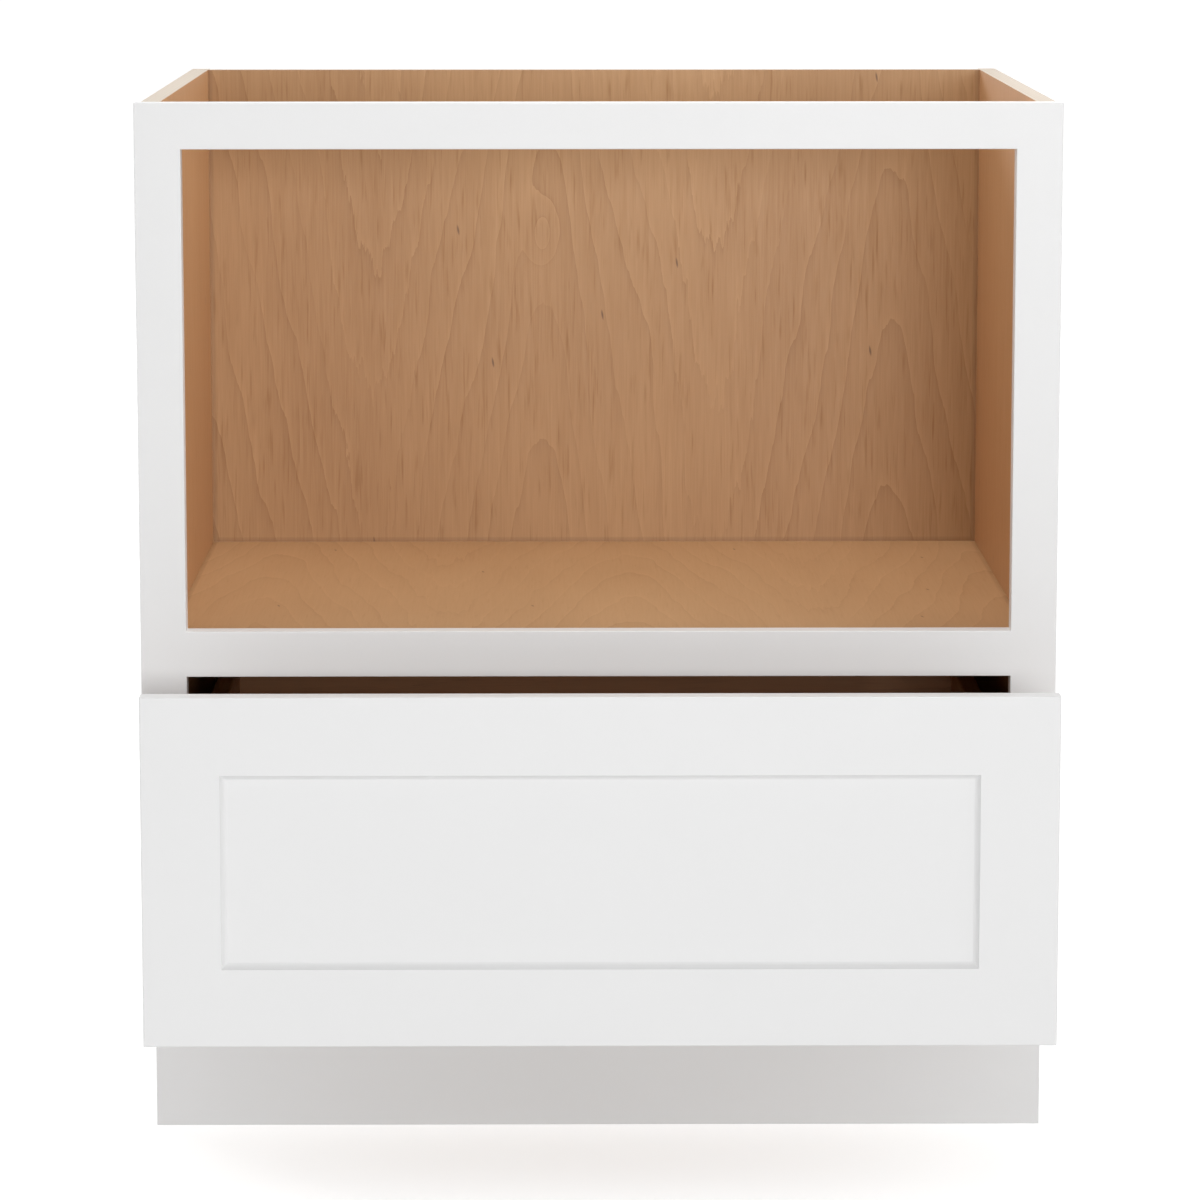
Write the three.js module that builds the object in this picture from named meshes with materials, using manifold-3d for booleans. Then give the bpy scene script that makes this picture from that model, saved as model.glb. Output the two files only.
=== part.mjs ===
// A framed microwave base cabinet: an open compartment for the oven above one deep drawer.
// Millimetres, +Z up. The front faces -Y. The origin is on the floor, under the middle of the
// cabinet with its drawer as far out as it stands here.
import * as THREE from "three";
import { mergeVertices } from "three/addons/utils/BufferGeometryUtils.js";
import Module from "manifold-3d";

const wasm = await Module();
wasm.setup();

// ---------------------------------------------------------------- Driving dimensions

// The cabinet as a whole
const cabinetWidth = 762; // across the face frame
const cabinetHeight = 876.3; // floor to the top edges
const cabinetDepth = 609.6; // front of the face frame to the rear ends of the sides

// Face frame
const frameThickness = 19.05;
const frameStileWidth = 38.1;
const topRailHeight = 38.1;
const middleRailHeight = 38.1;
const bottomRailHeight = 38.1;
const drawerOpeningHeight = 247.65;
const frameOverhang = 4.7625; // how far the frame stands past the outside of each side
const tenonLength = 12.7;
const tenonThickness = 6.35;
const tenonShoulder = 6.35; // above and below each tenon
const glueGap = 0.15; // left round tenons and panels in their grooves

// Case panels
const sideThickness = 15.875;
const shelfThickness = 15.875;
const bottomThickness = 15.875;
const backThickness = 12.7;
const rearRecess = 12.7; // from the back panel to the rear ends of the sides
const housingDepth = 6.35; // how deep shelf, bottom and back are let into the sides
const tongueShoulder = 6.35; // shelf and bottom stand over the tongues on their ends by this
const shelfDrop = 6.35; // shelf below the top of the middle rail
const bottomDrop = 6.35; // bottom panel below the top of the bottom rail
const hangingRailHeight = 76.2;
const hangingRailDrop = 19.05; // upper hanging rail below the top edge

// Toe kick
const toeSpaceHeight = 114.3;
const toeRecess = 63.5; // front of the frame to the front of the toe kick
const toeSkinThickness = 6.35;
const toeSkinOverlap = 1.5875; // skin past the outside of each side
const toeBoardThickness = 12.7;

// Corner blocks behind the top rail
const blockLeg = 88.9;
const blockTip = 9.5; // width of the blunted tips
const blockThickness = 19.05;
const blockDrop = 6.35; // below the top edge
const blockScrewOffset = 55; // screw to the corner, along either leg
const blockScrewGrip = 19; // wood under the screw's head
const blockScrewBite = 12; // screw in the frame or the side

// Drawer front
const drawerPull = 155; // how far the drawer stands open
const frontThickness = 19.05;
const frontOverlay = 25.4; // over the frame at the sides and below
const frontTopOverlay = 12.7;
const frontStileWidth = 63.5; // outer edge to the arris of the recess
const frontRailWidth = 63.5;
const panelRecess = 6.35; // face of the centre panel behind the face of its frame
const frontPanelThickness = 6.35;
const panelGrooveDepth = 9.525;
const coveWidth = 4.5; // cove from the arris down to the centre panel
const coveLip = 0.5; // square edge under the cove
const coveSteps = 5;
const bumperRadius = 4;
const bumperThickness = 1.5;
const bumperInset = 12.7; // bumper's middle to the edges of the drawer front
const closedGap = 0.3; // between bumpers and frame when the drawer is shut

// Drawer box
const boxRearRoom = 52.6; // behind the shut box, to the back panel
const boxHeight = 182.6;
const boxThickness = 15.875;
const boxSideClearance = 4.7625; // to each side of the drawer opening
const boxBottomClearance = 14.2875; // to the bottom of the drawer opening
const boxPanelRise = 12.7; // bottom panel above the lower edges of the box
const boxPanelThickness = 6.35;
const boxGrooveDepth = 6.35;
const tailPitch = 26;
const tailWidth = 13; // at the shoulder
const tailSplay = 2; // each flank over the thickness of the joint
const tailGap = 0.15; // along the flanks
const frontScrewInset = 8.3; // from the inside of the box side
const frontScrewRise = 30; // from the box's bottom panel and from its top edge
const frontScrewBite = 15; // screw in the drawer front

// Undermount runners
const runnerRearRoom = 47.625; // behind the runners, to the back panel
const runnerSetback = 3.175; // behind the front of the frame
const runnerLift = 2; // above the bottom of the drawer opening
const runnerSteel = 1.5;
const middleSteel = 1.2;
const slideGap = 0.4; // between one member and the next
const flangeHeight = 34;
const flangeScrewMargin = 2; // screw's head to the flange's upper edge
const hatWidth = 12; // the raised track of the cabinet rail
const middleSetback = 22; // middle rail behind the front end of the cabinet rail, shut
const middleRearSetback = 31.4; // and before its rear end
const lockGap = 0.3; // between plastic parts and the steel that they hold
const bracketPlate = 4;
const bracketWall = 2.5;
const bracketGrip = 32; // overlap of bracket and cabinet rail
const bracketPlateRise = 6; // the plate above the lip over the rail
const bracketMargin = 9; // screw to the plate's edges
const bracketScrewBite = 8; // screw in the hanging rail
const hookRise = 10; // rear hook above the box's bottom panel
const hookRadius = 2.5;
const hookLength = 8;
const hookSeat = 0.5; // tab left behind the hook's root
const notchWidth = 23; // in the box's back, for the drawer rail
const clipWidth = 36;
const clipBody = 12;
const clipLength = 48;
const clipHeight = 11.5;
const clipPlate = 3;
const clipScrewInset = 7; // from the inner end of the clip's plate
const clipScrewBite = 11;
const catchSetback = 9; // from the clip's plate to its catch
const catchLength = 9;
const catchMargin = 2; // catch to the clip's lower face, and to the web of the rail
const leverThickness = 4.6;
const leverRoot = [21.6, 44]; // where the lever leaves the clip's body, behind the box front
const leverEnd = [28.8, 56]; // and its free edge
const leverInset = 6; // from the free edge to the inner end of the plate
const rootOverlap = 1; // how far lever and catch run into the clip's body

// Screws
const screwRadius = 1.9;
const screwHeadRadius = 4;
const screwHeadHeight = 2.2;
const runnerScrewHead = 1.5;
const screwRecessWidth = 0.9; // each arm of the cross in a screw's head
const holeGap = 0.3; // round a screw in its hole
const seatGap = 0.1; // under a screw's head or a bumper

// ---------------------------------------------------------------- Planes worked out from them

const halfWidth = cabinetWidth / 2;
const openingHalf = halfWidth - frameStileWidth;
const sideOuter = halfWidth - frameOverhang;
const sideInner = sideOuter - sideThickness;
const housingEdge = sideInner + housingDepth;
const backRear = cabinetDepth - rearRecess;
const backFront = backRear - backThickness;

const drawerOpeningBottom = toeSpaceHeight + bottomRailHeight;
const drawerOpeningTop = drawerOpeningBottom + drawerOpeningHeight;
const ovenOpeningBottom = drawerOpeningTop + middleRailHeight;
const ovenOpeningTop = cabinetHeight - topRailHeight;
const shelfTop = ovenOpeningBottom - shelfDrop;
const shelfUnder = shelfTop - shelfThickness;
const bottomTop = drawerOpeningBottom - bottomDrop;
const bottomUnder = bottomTop - bottomThickness;

const toeBoardFront = toeRecess + toeSkinThickness;

// The drawer is drawn shut, and its group is then pulled forward.
const frontRear = -(bumperThickness + closedGap);
const frontFace = frontRear - frontThickness;
const frontHalf = openingHalf + frontOverlay;
const frontBottom = drawerOpeningBottom - frontOverlay;
const frontTop = drawerOpeningTop + frontTopOverlay;
const recessHalf = frontHalf - frontStileWidth;
const recessBottom = frontBottom + frontRailWidth;
const recessTop = frontTop - frontRailWidth;
const grooveFront = frontFace + panelRecess;
const grooveRear = grooveFront + frontPanelThickness;

const boxOuter = openingHalf - boxSideClearance;
const boxInner = boxOuter - boxThickness;
const boxFrontInner = frontRear + boxThickness;
const boxRear = backFront - boxRearRoom;
const boxRearInner = boxRear - boxThickness;
const boxBottomEdge = drawerOpeningBottom + boxBottomClearance;
const boxTopEdge = boxBottomEdge + boxHeight;
const boxPanelUnder = boxBottomEdge + boxPanelRise;
const boxPanelTop = boxPanelUnder + boxPanelThickness;

// Runner section: heights from the drawer box down, widths from the box side inwards
const runnerBase = drawerOpeningBottom + runnerLift;
const runnerWebTop = runnerBase + runnerSteel;
const runnerRear = backFront - runnerRearRoom;
const flangeTop = runnerBase + flangeHeight;
const drawerRailUnder = boxPanelUnder - runnerSteel;
const middleTop = drawerRailUnder - slideGap;
const middleUnder = middleTop - middleSteel;
const hatTop = middleUnder - slideGap;
const hatUnder = hatTop - runnerSteel;
const drawerRailOuter = boxInner - slideGap;
const middleOuter = drawerRailOuter - runnerSteel - slideGap;
const hatOuter = middleOuter - middleSteel - slideGap;
const hatInner = hatOuter - hatWidth;
const middleInner = hatInner - slideGap - middleSteel;
const drawerRailInner = middleInner - slideGap - runnerSteel;
const clipEdge = drawerRailInner - lockGap;

// ---------------------------------------------------------------- Solid helpers

const PAST = 5; // how far a cutter runs out of the piece that it cuts
const MERGE_DISTANCE = 1e-5; // corners nearer than this are one
const ROUND_SIDES = 20; // flats round a bar, a hole or a bumper
const SCREW_SIDES = 16;
const span = (a, b) => [Math.min(a, b), Math.max(a, b)];

// A block between three pairs of planes. Its corners are set on the planes themselves, so that
// two blocks that share a plane touch on it exactly.
function block(x, y, z) {
  const geometry = new THREE.BoxGeometry(1, 1, 1);
  const corner = geometry.attributes.position;
  for (let i = 0; i < corner.count; i += 1) {
    corner.setXYZ(
      i,
      x[corner.getX(i) < 0 ? 0 : 1],
      y[corner.getY(i) < 0 ? 0 : 1],
      z[corner.getZ(i) < 0 ? 0 : 1],
    );
  }
  return geometry;
}

// An outline in the plane across an axis, carried along that axis between two planes. The
// outline's own axes are the next two in X, Y, Z order.
function prism(axis, [from, to], outline) {
  const shape = new THREE.Shape(outline.map(([a, b]) => new THREE.Vector2(a, b)));
  const geometry = new THREE.ExtrudeGeometry(shape, { depth: 1, bevelEnabled: false });
  const corner = geometry.attributes.position;
  for (let i = 0; i < corner.count; i += 1) {
    const along = corner.getZ(i) < 0.5 ? from : to;
    const [a, b] = [corner.getX(i), corner.getY(i)];
    const placed = { x: [along, a, b], y: [b, along, a], z: [a, b, along] }[axis];
    corner.setXYZ(i, ...placed);
  }
  return geometry;
}

// A round bar or hole along an axis, between two planes on it.
function rod(axis, [from, to], centre, radius) {
  const geometry = new THREE.CylinderGeometry(radius, radius, to - from, ROUND_SIDES);
  if (axis === "x") geometry.rotateZ(Math.PI / 2);
  if (axis === "z") geometry.rotateX(Math.PI / 2);
  const middle = new THREE.Vector3(...centre);
  middle[axis] = (from + to) / 2;
  geometry.translate(middle.x, middle.y, middle.z);
  return geometry;
}

function solid(geometry) {
  const bare = geometry.clone();
  bare.deleteAttribute("normal");
  bare.deleteAttribute("uv");
  const merged = mergeVertices(bare, MERGE_DISTANCE);
  return new wasm.Manifold(
    new wasm.Mesh({
      numProp: 3,
      vertProperties: merged.attributes.position.array,
      triVerts: new Uint32Array(merged.index.array),
    }),
  );
}

function geometryOf(manifold) {
  const mesh = manifold.getMesh();
  const geometry = new THREE.BufferGeometry();
  geometry.setAttribute("position", new THREE.BufferAttribute(mesh.vertProperties, 3));
  geometry.setIndex(new THREE.BufferAttribute(mesh.triVerts, 1));
  geometry.computeVertexNormals();
  return geometry;
}

// Joins the first list of shapes into one solid and cuts the second list out of it.
function shaped(joined, cuts = []) {
  let body = solid(joined[0]);
  for (const piece of joined.slice(1)) body = body.add(solid(piece));
  for (const piece of cuts) body = body.subtract(solid(piece));
  return geometryOf(body);
}

// ---------------------------------------------------------------- Finishes

const paint = () => new THREE.MeshStandardMaterial({ color: 0xe9e9e8, roughness: 0.42, metalness: 0 });
const maplePly = () => new THREE.MeshStandardMaterial({ color: 0xb8895c, roughness: 0.5, metalness: 0 });
const solidMaple = () => new THREE.MeshStandardMaterial({ color: 0xc79a68, roughness: 0.5, metalness: 0 });
const plainWood = () => new THREE.MeshStandardMaterial({ color: 0xcbb593, roughness: 0.7, metalness: 0 });
const zincSteel = () => new THREE.MeshStandardMaterial({ color: 0xb7babd, roughness: 0.35, metalness: 0.9 });
const greyPlastic = () => new THREE.MeshStandardMaterial({ color: 0x8d9093, roughness: 0.55, metalness: 0 });
const softPlastic = () => new THREE.MeshStandardMaterial({ color: 0xd9dad8, roughness: 0.6, metalness: 0 });

// Puts a named piece in a group.
function place(group, name, geometry, material) {
  const mesh = new THREE.Mesh(geometry, material);
  mesh.name = name;
  group.add(mesh);
  return mesh;
}

const hands = [
  { name: "left", side: -1 },
  { name: "right", side: 1 },
];

// ---------------------------------------------------------------- Screws

// A pan-head screw with a cross recess, drawn with its head's underside at the origin, its head
// towards +Y and its point towards -Y.
function screwGeometry(length, headHeight) {
  const crownRadius = screwHeadRadius * 0.6;
  const rimHeight = headHeight * 0.45;
  const pointLength = screwRadius * 2;
  const outline = [
    [0, headHeight],
    [crownRadius, headHeight],
    [screwHeadRadius, rimHeight],
    [screwHeadRadius, 0],
    [screwRadius, 0],
    [screwRadius, pointLength - length],
    [0, -length],
  ];
  const turned = new THREE.LatheGeometry(
    outline.reverse().map(([r, y]) => new THREE.Vector2(r, y)),
    SCREW_SIDES,
  );
  const arm = screwHeadRadius * 0.55;
  const slot = screwRecessWidth / 2;
  const recess = headHeight * 0.4;
  return shaped(
    [turned],
    [
      block([-arm, arm], [recess, headHeight + PAST], [-slot, slot]),
      block([-slot, slot], [recess, headHeight + PAST], [-arm, arm]),
    ],
  );
}

// Adds a screw whose head bears on `seat` and whose point lies along `direction`.
function addScrew(group, name, seat, direction, length, headHeight = screwHeadHeight) {
  const mesh = place(group, name, screwGeometry(length, headHeight), zincSteel());
  const point = new THREE.Vector3(...direction);
  mesh.quaternion.setFromUnitVectors(new THREE.Vector3(0, -1, 0), point);
  mesh.position.set(...seat).addScaledVector(point, -seatGap);
}

// ---------------------------------------------------------------- Where the screws go

const blockMiddle = cabinetHeight - blockDrop - blockThickness / 2;
const frameScrewX = sideInner - blockScrewOffset;
const sideScrewY = frameThickness + blockScrewOffset;
const flangeScrew = [frameThickness / 2, flangeTop - screwHeadRadius - flangeScrewMargin];
const bracketLow = runnerBase - lockGap - bracketWall;
const bracketHigh = flangeTop + lockGap + bracketWall + bracketPlateRise;
const bracketScrewX = sideInner - bracketMargin;
const bracketScrewHeights = [bracketLow + bracketMargin, bracketHigh - bracketMargin];
const bracketScrewLength = bracketPlate + backThickness + bracketScrewBite;
const frontScrewX = boxInner - frontScrewInset;
const frontScrewHeights = [boxPanelTop + frontScrewRise, boxTopEdge - frontScrewRise];
const clipScrewX = clipEdge - clipWidth + clipScrewInset;
const clipScrewZ = boxPanelUnder - clipHeight / 2;

// ---------------------------------------------------------------- Face frame

// The rails in order from the top, each as the heights of its lower and upper edge.
const frameRails = {
  top: [ovenOpeningTop, cabinetHeight],
  middle: [drawerOpeningTop, ovenOpeningBottom],
  bottom: [toeSpaceHeight, drawerOpeningBottom],
};

// A tenon through both stiles' inner edges, or the mortises that it leaves with `gap` round it.
function tenon([low, high], gap) {
  const reach = openingHalf + tenonLength + gap;
  const front = (frameThickness - tenonThickness) / 2 - gap;
  return block(
    [-reach, reach],
    [front, frameThickness - front],
    [low + tenonShoulder - gap, high - tenonShoulder + gap],
  );
}

function addFaceFrame(group) {
  const pilot = screwRadius + holeGap;
  const screwHoles = hands.map(({ side }) =>
    rod(
      "y",
      [frameThickness - blockScrewBite - holeGap, frameThickness + PAST],
      [side * frameScrewX, 0, blockMiddle],
      pilot,
    ),
  );
  const flangeHole = (side) =>
    rod(
      "x",
      span(side * (openingHalf - PAST), side * (openingHalf + blockScrewBite + holeGap)),
      [0, ...flangeScrew],
      pilot,
    );
  for (const { name, side } of hands) {
    const board = block(
      span(side * openingHalf, side * halfWidth),
      [0, frameThickness],
      [toeSpaceHeight, cabinetHeight],
    );
    const mortises = Object.values(frameRails).map((heights) => tenon(heights, glueGap));
    const stile = shaped([board], [...mortises, flangeHole(side)]);
    place(group, `face_frame_${name}_stile`, stile, paint());
  }
  for (const [name, heights] of Object.entries(frameRails)) {
    const board = block([-openingHalf, openingHalf], [0, frameThickness], heights);
    const rail = shaped([board, tenon(heights, 0)], name === "top" ? screwHoles : []);
    place(group, `face_frame_${name}_rail`, rail, paint());
  }
}

// ---------------------------------------------------------------- Case

// A side panel, notched for the toe space and housed for the shelf, bottom and back.
function sidePanel(side) {
  const housed = span(side * (sideInner - PAST), side * housingEdge);
  const housedRun = [frameThickness - PAST, backFront + PAST];
  return shaped(
    [
      block(
        span(side * sideInner, side * sideOuter),
        [frameThickness, cabinetDepth],
        [0, cabinetHeight],
      ),
    ],
    [
      block(
        span(side * (sideInner - PAST), side * (sideOuter + PAST)),
        [frameThickness - PAST, toeBoardFront],
        [-PAST, toeSpaceHeight],
      ),
      block(housed, housedRun, [shelfUnder, shelfTop - tongueShoulder]),
      block(housed, housedRun, [bottomUnder, bottomTop - tongueShoulder]),
      block(housed, [backFront, backRear], [bottomUnder, cabinetHeight + PAST]),
      rod(
        "x",
        span(side * (sideInner - PAST), side * (sideInner + blockScrewBite + holeGap)),
        [0, sideScrewY, blockMiddle],
        screwRadius + holeGap,
      ),
    ],
  );
}

// The holes of the rear brackets' screws, from the front of the back panel rearwards.
function bracketHoles() {
  return hands.flatMap(({ side }) =>
    bracketScrewHeights.map((height) =>
      rod(
        "y",
        [backFront - PAST, backFront + backThickness + bracketScrewBite + holeGap],
        [side * bracketScrewX, 0, height],
        screwRadius + holeGap,
      ),
    ),
  );
}

// A level panel between the sides. Its ends are cut back above a tongue that the sides house, so
// its top face stops at their inner faces.
function levelPanel(under, top) {
  const run = [frameThickness, backFront];
  return shaped([
    block([-sideInner, sideInner], run, [under, top]),
    block([-housingEdge, housingEdge], run, [under, top - tongueShoulder]),
  ]);
}

function addCase(group) {
  for (const { name, side } of hands) {
    place(group, `${name}_side_panel`, sidePanel(side), maplePly());
  }
  place(group, "microwave_shelf", levelPanel(shelfUnder, shelfTop), maplePly());
  place(group, "bottom_panel", levelPanel(bottomUnder, bottomTop), maplePly());
  const clearWidth = [-sideInner, sideInner];
  const back = block(
    [-housingEdge, housingEdge],
    [backFront, backRear],
    [bottomUnder, cabinetHeight],
  );
  place(group, "back_panel", shaped([back], bracketHoles()), maplePly());

  const upperRailTop = cabinetHeight - hangingRailDrop;
  const railRun = [backRear, cabinetDepth];
  const upperRail = block(clearWidth, railRun, [upperRailTop - hangingRailHeight, upperRailTop]);
  const lowerRail = block(clearWidth, railRun, [bottomUnder, bottomUnder + hangingRailHeight]);
  place(group, "upper_hanging_rail", upperRail, plainWood());
  place(group, "lower_hanging_rail", shaped([lowerRail], bracketHoles()), plainWood());
}

function addToeKick(group) {
  const skinHalf = sideOuter + toeSkinOverlap;
  const boardRun = [toeBoardFront, toeBoardFront + toeBoardThickness];
  place(
    group,
    "toe_kick_board",
    block([-sideInner, sideInner], boardRun, [0, bottomUnder]),
    plainWood(),
  );
  place(
    group,
    "toe_kick_skin",
    block([-skinHalf, skinHalf], [toeRecess, toeBoardFront], [0, toeSpaceHeight]),
    paint(),
  );
}

// ---------------------------------------------------------------- Corner blocks

// A triangular block with blunted tips, glued and screwed into the corner of side and top rail.
function cornerBlock(side) {
  const [x, y] = [sideInner, frameThickness];
  const outline = [
    [side * x, y],
    [side * x, y + blockLeg],
    [side * (x - blockTip), y + blockLeg],
    [side * (x - blockLeg), y + blockTip],
    [side * (x - blockLeg), y],
  ];
  const heights = [blockMiddle - blockThickness / 2, blockMiddle + blockThickness / 2];
  const shank = screwRadius + holeGap;
  const head = screwHeadRadius + holeGap;
  const frameHole = [side * frameScrewX, 0, blockMiddle];
  const sideHole = [0, sideScrewY, blockMiddle];
  const sideRun = (from, to) => span(side * from, side * to);
  return shaped(
    [prism("z", heights, outline)],
    [
      rod("y", [y - PAST, y + blockLeg], frameHole, shank),
      rod("y", [y + blockScrewGrip, y + blockLeg + PAST], frameHole, head),
      rod("x", sideRun(x - blockLeg, x + PAST), sideHole, shank),
      rod("x", sideRun(x - blockLeg - PAST, x - blockScrewGrip), sideHole, head),
    ],
  );
}

function addCornerBlocks(group) {
  const length = blockScrewGrip + blockScrewBite;
  for (const { name, side } of hands) {
    place(group, `${name}_corner_block`, cornerBlock(side), plainWood());
    addScrew(
      group,
      `${name}_corner_block_frame_screw`,
      [side * frameScrewX, frameThickness + blockScrewGrip, blockMiddle],
      [0, -1, 0],
      length,
    );
    addScrew(
      group,
      `${name}_corner_block_side_screw`,
      [side * (sideInner - blockScrewGrip), sideScrewY, blockMiddle],
      [side, 0, 0],
      length,
    );
  }
}

// ---------------------------------------------------------------- Runners

// The cabinet rail: a flange screwed to the frame's edge, a web under the drawer side, and a
// raised track that starts behind the box front of the shut drawer.
function cabinetRail(side) {
  const across = (from, to) => span(side * from, side * to);
  const whole = [runnerSetback, runnerRear];
  const track = [boxFrontInner + lockGap + runnerSteel, runnerRear];
  return shaped(
    [
      block(across(openingHalf - runnerSteel, openingHalf), whole, [runnerBase, flangeTop]),
      block(across(hatOuter - runnerSteel, openingHalf), whole, [runnerBase, runnerWebTop]),
      block(across(hatOuter - runnerSteel, hatOuter), track, [runnerBase, hatTop]),
      block(across(hatInner, hatOuter), track, [hatUnder, hatTop]),
      block(across(hatInner, hatInner + runnerSteel), track, [runnerWebTop + runnerSteel, hatTop]),
    ],
    [
      rod(
        "x",
        across(openingHalf - runnerSteel - PAST, openingHalf + PAST),
        [0, ...flangeScrew],
        screwRadius + holeGap,
      ),
    ],
  );
}

// A socket that holds the rear end of the cabinet rail and is screwed through the back panel.
function rearBracket(side) {
  const across = (from, to) => span(side * from, side * to);
  const plateRun = [backFront - bracketPlate, backFront];
  const armRun = [runnerRear - bracketGrip, backFront];
  const armInner = openingHalf + lockGap;
  const armOuter = armInner + bracketWall;
  const lipUnder = flangeTop + lockGap;
  return shaped(
    [
      block(across(hatInner, sideInner), plateRun, [bracketLow, bracketHigh]),
      block(across(hatOuter, armOuter), armRun, [bracketLow, bracketLow + bracketWall]),
      block(across(armInner, armOuter), armRun, [bracketLow, lipUnder + bracketWall]),
      block(across(openingHalf - runnerSteel, armOuter), armRun, [lipUnder, lipUnder + bracketWall]),
    ],
    bracketScrewHeights.map((height) =>
      rod(
        "y",
        [backFront - bracketPlate - PAST, backFront + PAST],
        [side * bracketScrewX, 0, height],
        screwRadius + holeGap,
      ),
    ),
  );
}

// A downward channel between two outer faces: its web on top, a leg down each side.
function channel(side, outer, inner, steel, run, [legsUnder, webUnder, top]) {
  const across = (from, to) => span(side * from, side * to);
  return [
    block(across(inner, outer), run, [webUnder, top]),
    block(across(outer - steel, outer), run, [legsUnder, top]),
    block(across(inner, inner + steel), run, [legsUnder, top]),
  ];
}

function addCabinetRunners(group) {
  for (const { name, side } of hands) {
    place(group, `${name}_runner_cabinet_rail`, cabinetRail(side), zincSteel());
    addScrew(
      group,
      `${name}_runner_front_screw`,
      [side * (openingHalf - runnerSteel), ...flangeScrew],
      [side, 0, 0],
      runnerSteel + blockScrewBite,
      runnerScrewHead,
    );
    place(group, `${name}_runner_rear_bracket`, rearBracket(side), greyPlastic());
    for (const [level, height] of Object.entries({
      lower: bracketScrewHeights[0],
      upper: bracketScrewHeights[1],
    })) {
      addScrew(
        group,
        `${name}_rear_bracket_${level}_screw`,
        [side * bracketScrewX, backFront - bracketPlate, height],
        [0, 1, 0],
        bracketScrewLength,
      );
    }
  }
}

// The middle rails rest halfway between the cabinet rails and the drawer's own rails.
function addMiddleRails(group) {
  const run = [runnerSetback + middleSetback, runnerRear - middleRearSetback];
  const heights = [runnerWebTop + runnerSteel, middleUnder, middleTop];
  for (const { name, side } of hands) {
    const rail = shaped(channel(side, middleOuter, middleInner, middleSteel, run, heights));
    place(group, `${name}_runner_middle_rail`, rail, zincSteel());
  }
}

// The drawer rail: a channel under the box, with a hook into the box's back and a window that
// the locking clip's catch stands in.
const railRun = [boxFrontInner + lockGap, boxRear + lockGap + runnerSteel];
const catchFront = boxFrontInner + clipPlate + catchSetback;
const catchRun = [catchFront, catchFront + catchLength];
const catchHeights = [boxPanelUnder - clipHeight + catchMargin, drawerRailUnder - catchMargin];
const hookCentre = [(drawerRailOuter + drawerRailInner) / 2, 0, boxPanelTop + hookRise / 2];

function drawerRail(side) {
  const across = (from, to) => span(side * from, side * to);
  const heights = [runnerWebTop + 2 * runnerSteel + slideGap, drawerRailUnder, boxPanelUnder];
  const [hookX, , hookZ] = hookCentre;
  const tabFront = boxRear + lockGap;
  return shaped(
    [
      ...channel(side, drawerRailOuter, drawerRailInner, runnerSteel, railRun, heights),
      block(
        across(drawerRailInner, drawerRailOuter),
        [tabFront, railRun[1]],
        [drawerRailUnder, boxPanelTop + hookRise],
      ),
      rod("y", [tabFront - hookLength, railRun[1] - hookSeat], [side * hookX, 0, hookZ], hookRadius),
    ],
    [
      block(
        across(drawerRailInner - PAST, drawerRailInner + runnerSteel),
        [catchRun[0] - lockGap, catchRun[1] + lockGap],
        [catchHeights[0] - lockGap, catchHeights[1] + lockGap],
      ),
    ],
  );
}

// A clip behind the box front that locks the drawer rail to the box, with a release lever.
function lockingClip(side) {
  const across = (from, to) => span(side * from, side * to);
  const y = boxFrontInner;
  const heights = [boxPanelUnder - clipHeight, boxPanelUnder];
  const leverHeights = [heights[0], heights[0] + leverThickness];
  const rootX = side * (clipEdge - clipBody + rootOverlap);
  const tipX = side * (clipEdge - clipWidth + leverInset);
  const leverOutline = [
    [rootX, y + leverRoot[0]],
    [tipX, y + leverEnd[0]],
    [tipX, y + leverEnd[1]],
    [rootX, y + leverRoot[1]],
  ];
  const catchTip = drawerRailInner + runnerSteel - lockGap;
  return shaped(
    [
      block(across(clipEdge - clipWidth, clipEdge), [y, y + clipPlate], heights),
      block(across(clipEdge - clipBody, clipEdge), [y, y + clipLength], heights),
      prism("z", leverHeights, leverOutline),
      block(across(clipEdge - rootOverlap, catchTip), catchRun, catchHeights),
    ],
    [
      rod(
        "y",
        [y - PAST, y + clipPlate + PAST],
        [side * clipScrewX, 0, clipScrewZ],
        screwRadius + holeGap,
      ),
    ],
  );
}

function addDrawerRunners(group) {
  for (const { name, side } of hands) {
    place(group, `${name}_runner_drawer_rail`, drawerRail(side), zincSteel());
    place(group, `${name}_locking_clip`, lockingClip(side), greyPlastic());
    addScrew(
      group,
      `${name}_locking_clip_screw`,
      [side * clipScrewX, boxFrontInner + clipPlate, clipScrewZ],
      [0, -1, 0],
      clipPlate + clipScrewBite,
    );
  }
}

// ---------------------------------------------------------------- Drawer box

// The dovetails of one corner, from the shoulder plane to the end plane of a box side. With a
// gap they are the cutter for the sockets, which then also runs out past both planes.
function tails(side, shoulder, end, gap) {
  const count = Math.floor(boxHeight / tailPitch);
  const margin = (boxHeight - (count - 1) * tailPitch) / 2;
  const outwards = Math.sign(end - shoulder);
  const run = gap > 0 ? PAST : 0;
  const lean = (tailSplay / Math.abs(end - shoulder)) * run;
  const across = span(side * boxInner, side * (boxOuter + run));
  const narrow = tailWidth / 2 - lean + gap;
  const wide = tailWidth / 2 + tailSplay + lean + gap;
  return Array.from({ length: count }, (_, i) => {
    const z = boxBottomEdge + margin + i * tailPitch;
    return prism("x", across, [
      [shoulder - outwards * run, z - narrow],
      [end + outwards * run, z - wide],
      [end + outwards * run, z + wide],
      [shoulder - outwards * run, z + narrow],
    ]);
  });
}

// The room of the box's bottom panel, which is also the groove that it leaves in all four boards.
function boxPanelRoom() {
  const half = boxInner + boxGrooveDepth;
  return block(
    [-half, half],
    [boxFrontInner - boxGrooveDepth, boxRearInner + boxGrooveDepth],
    [boxPanelUnder, boxPanelTop],
  );
}

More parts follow.
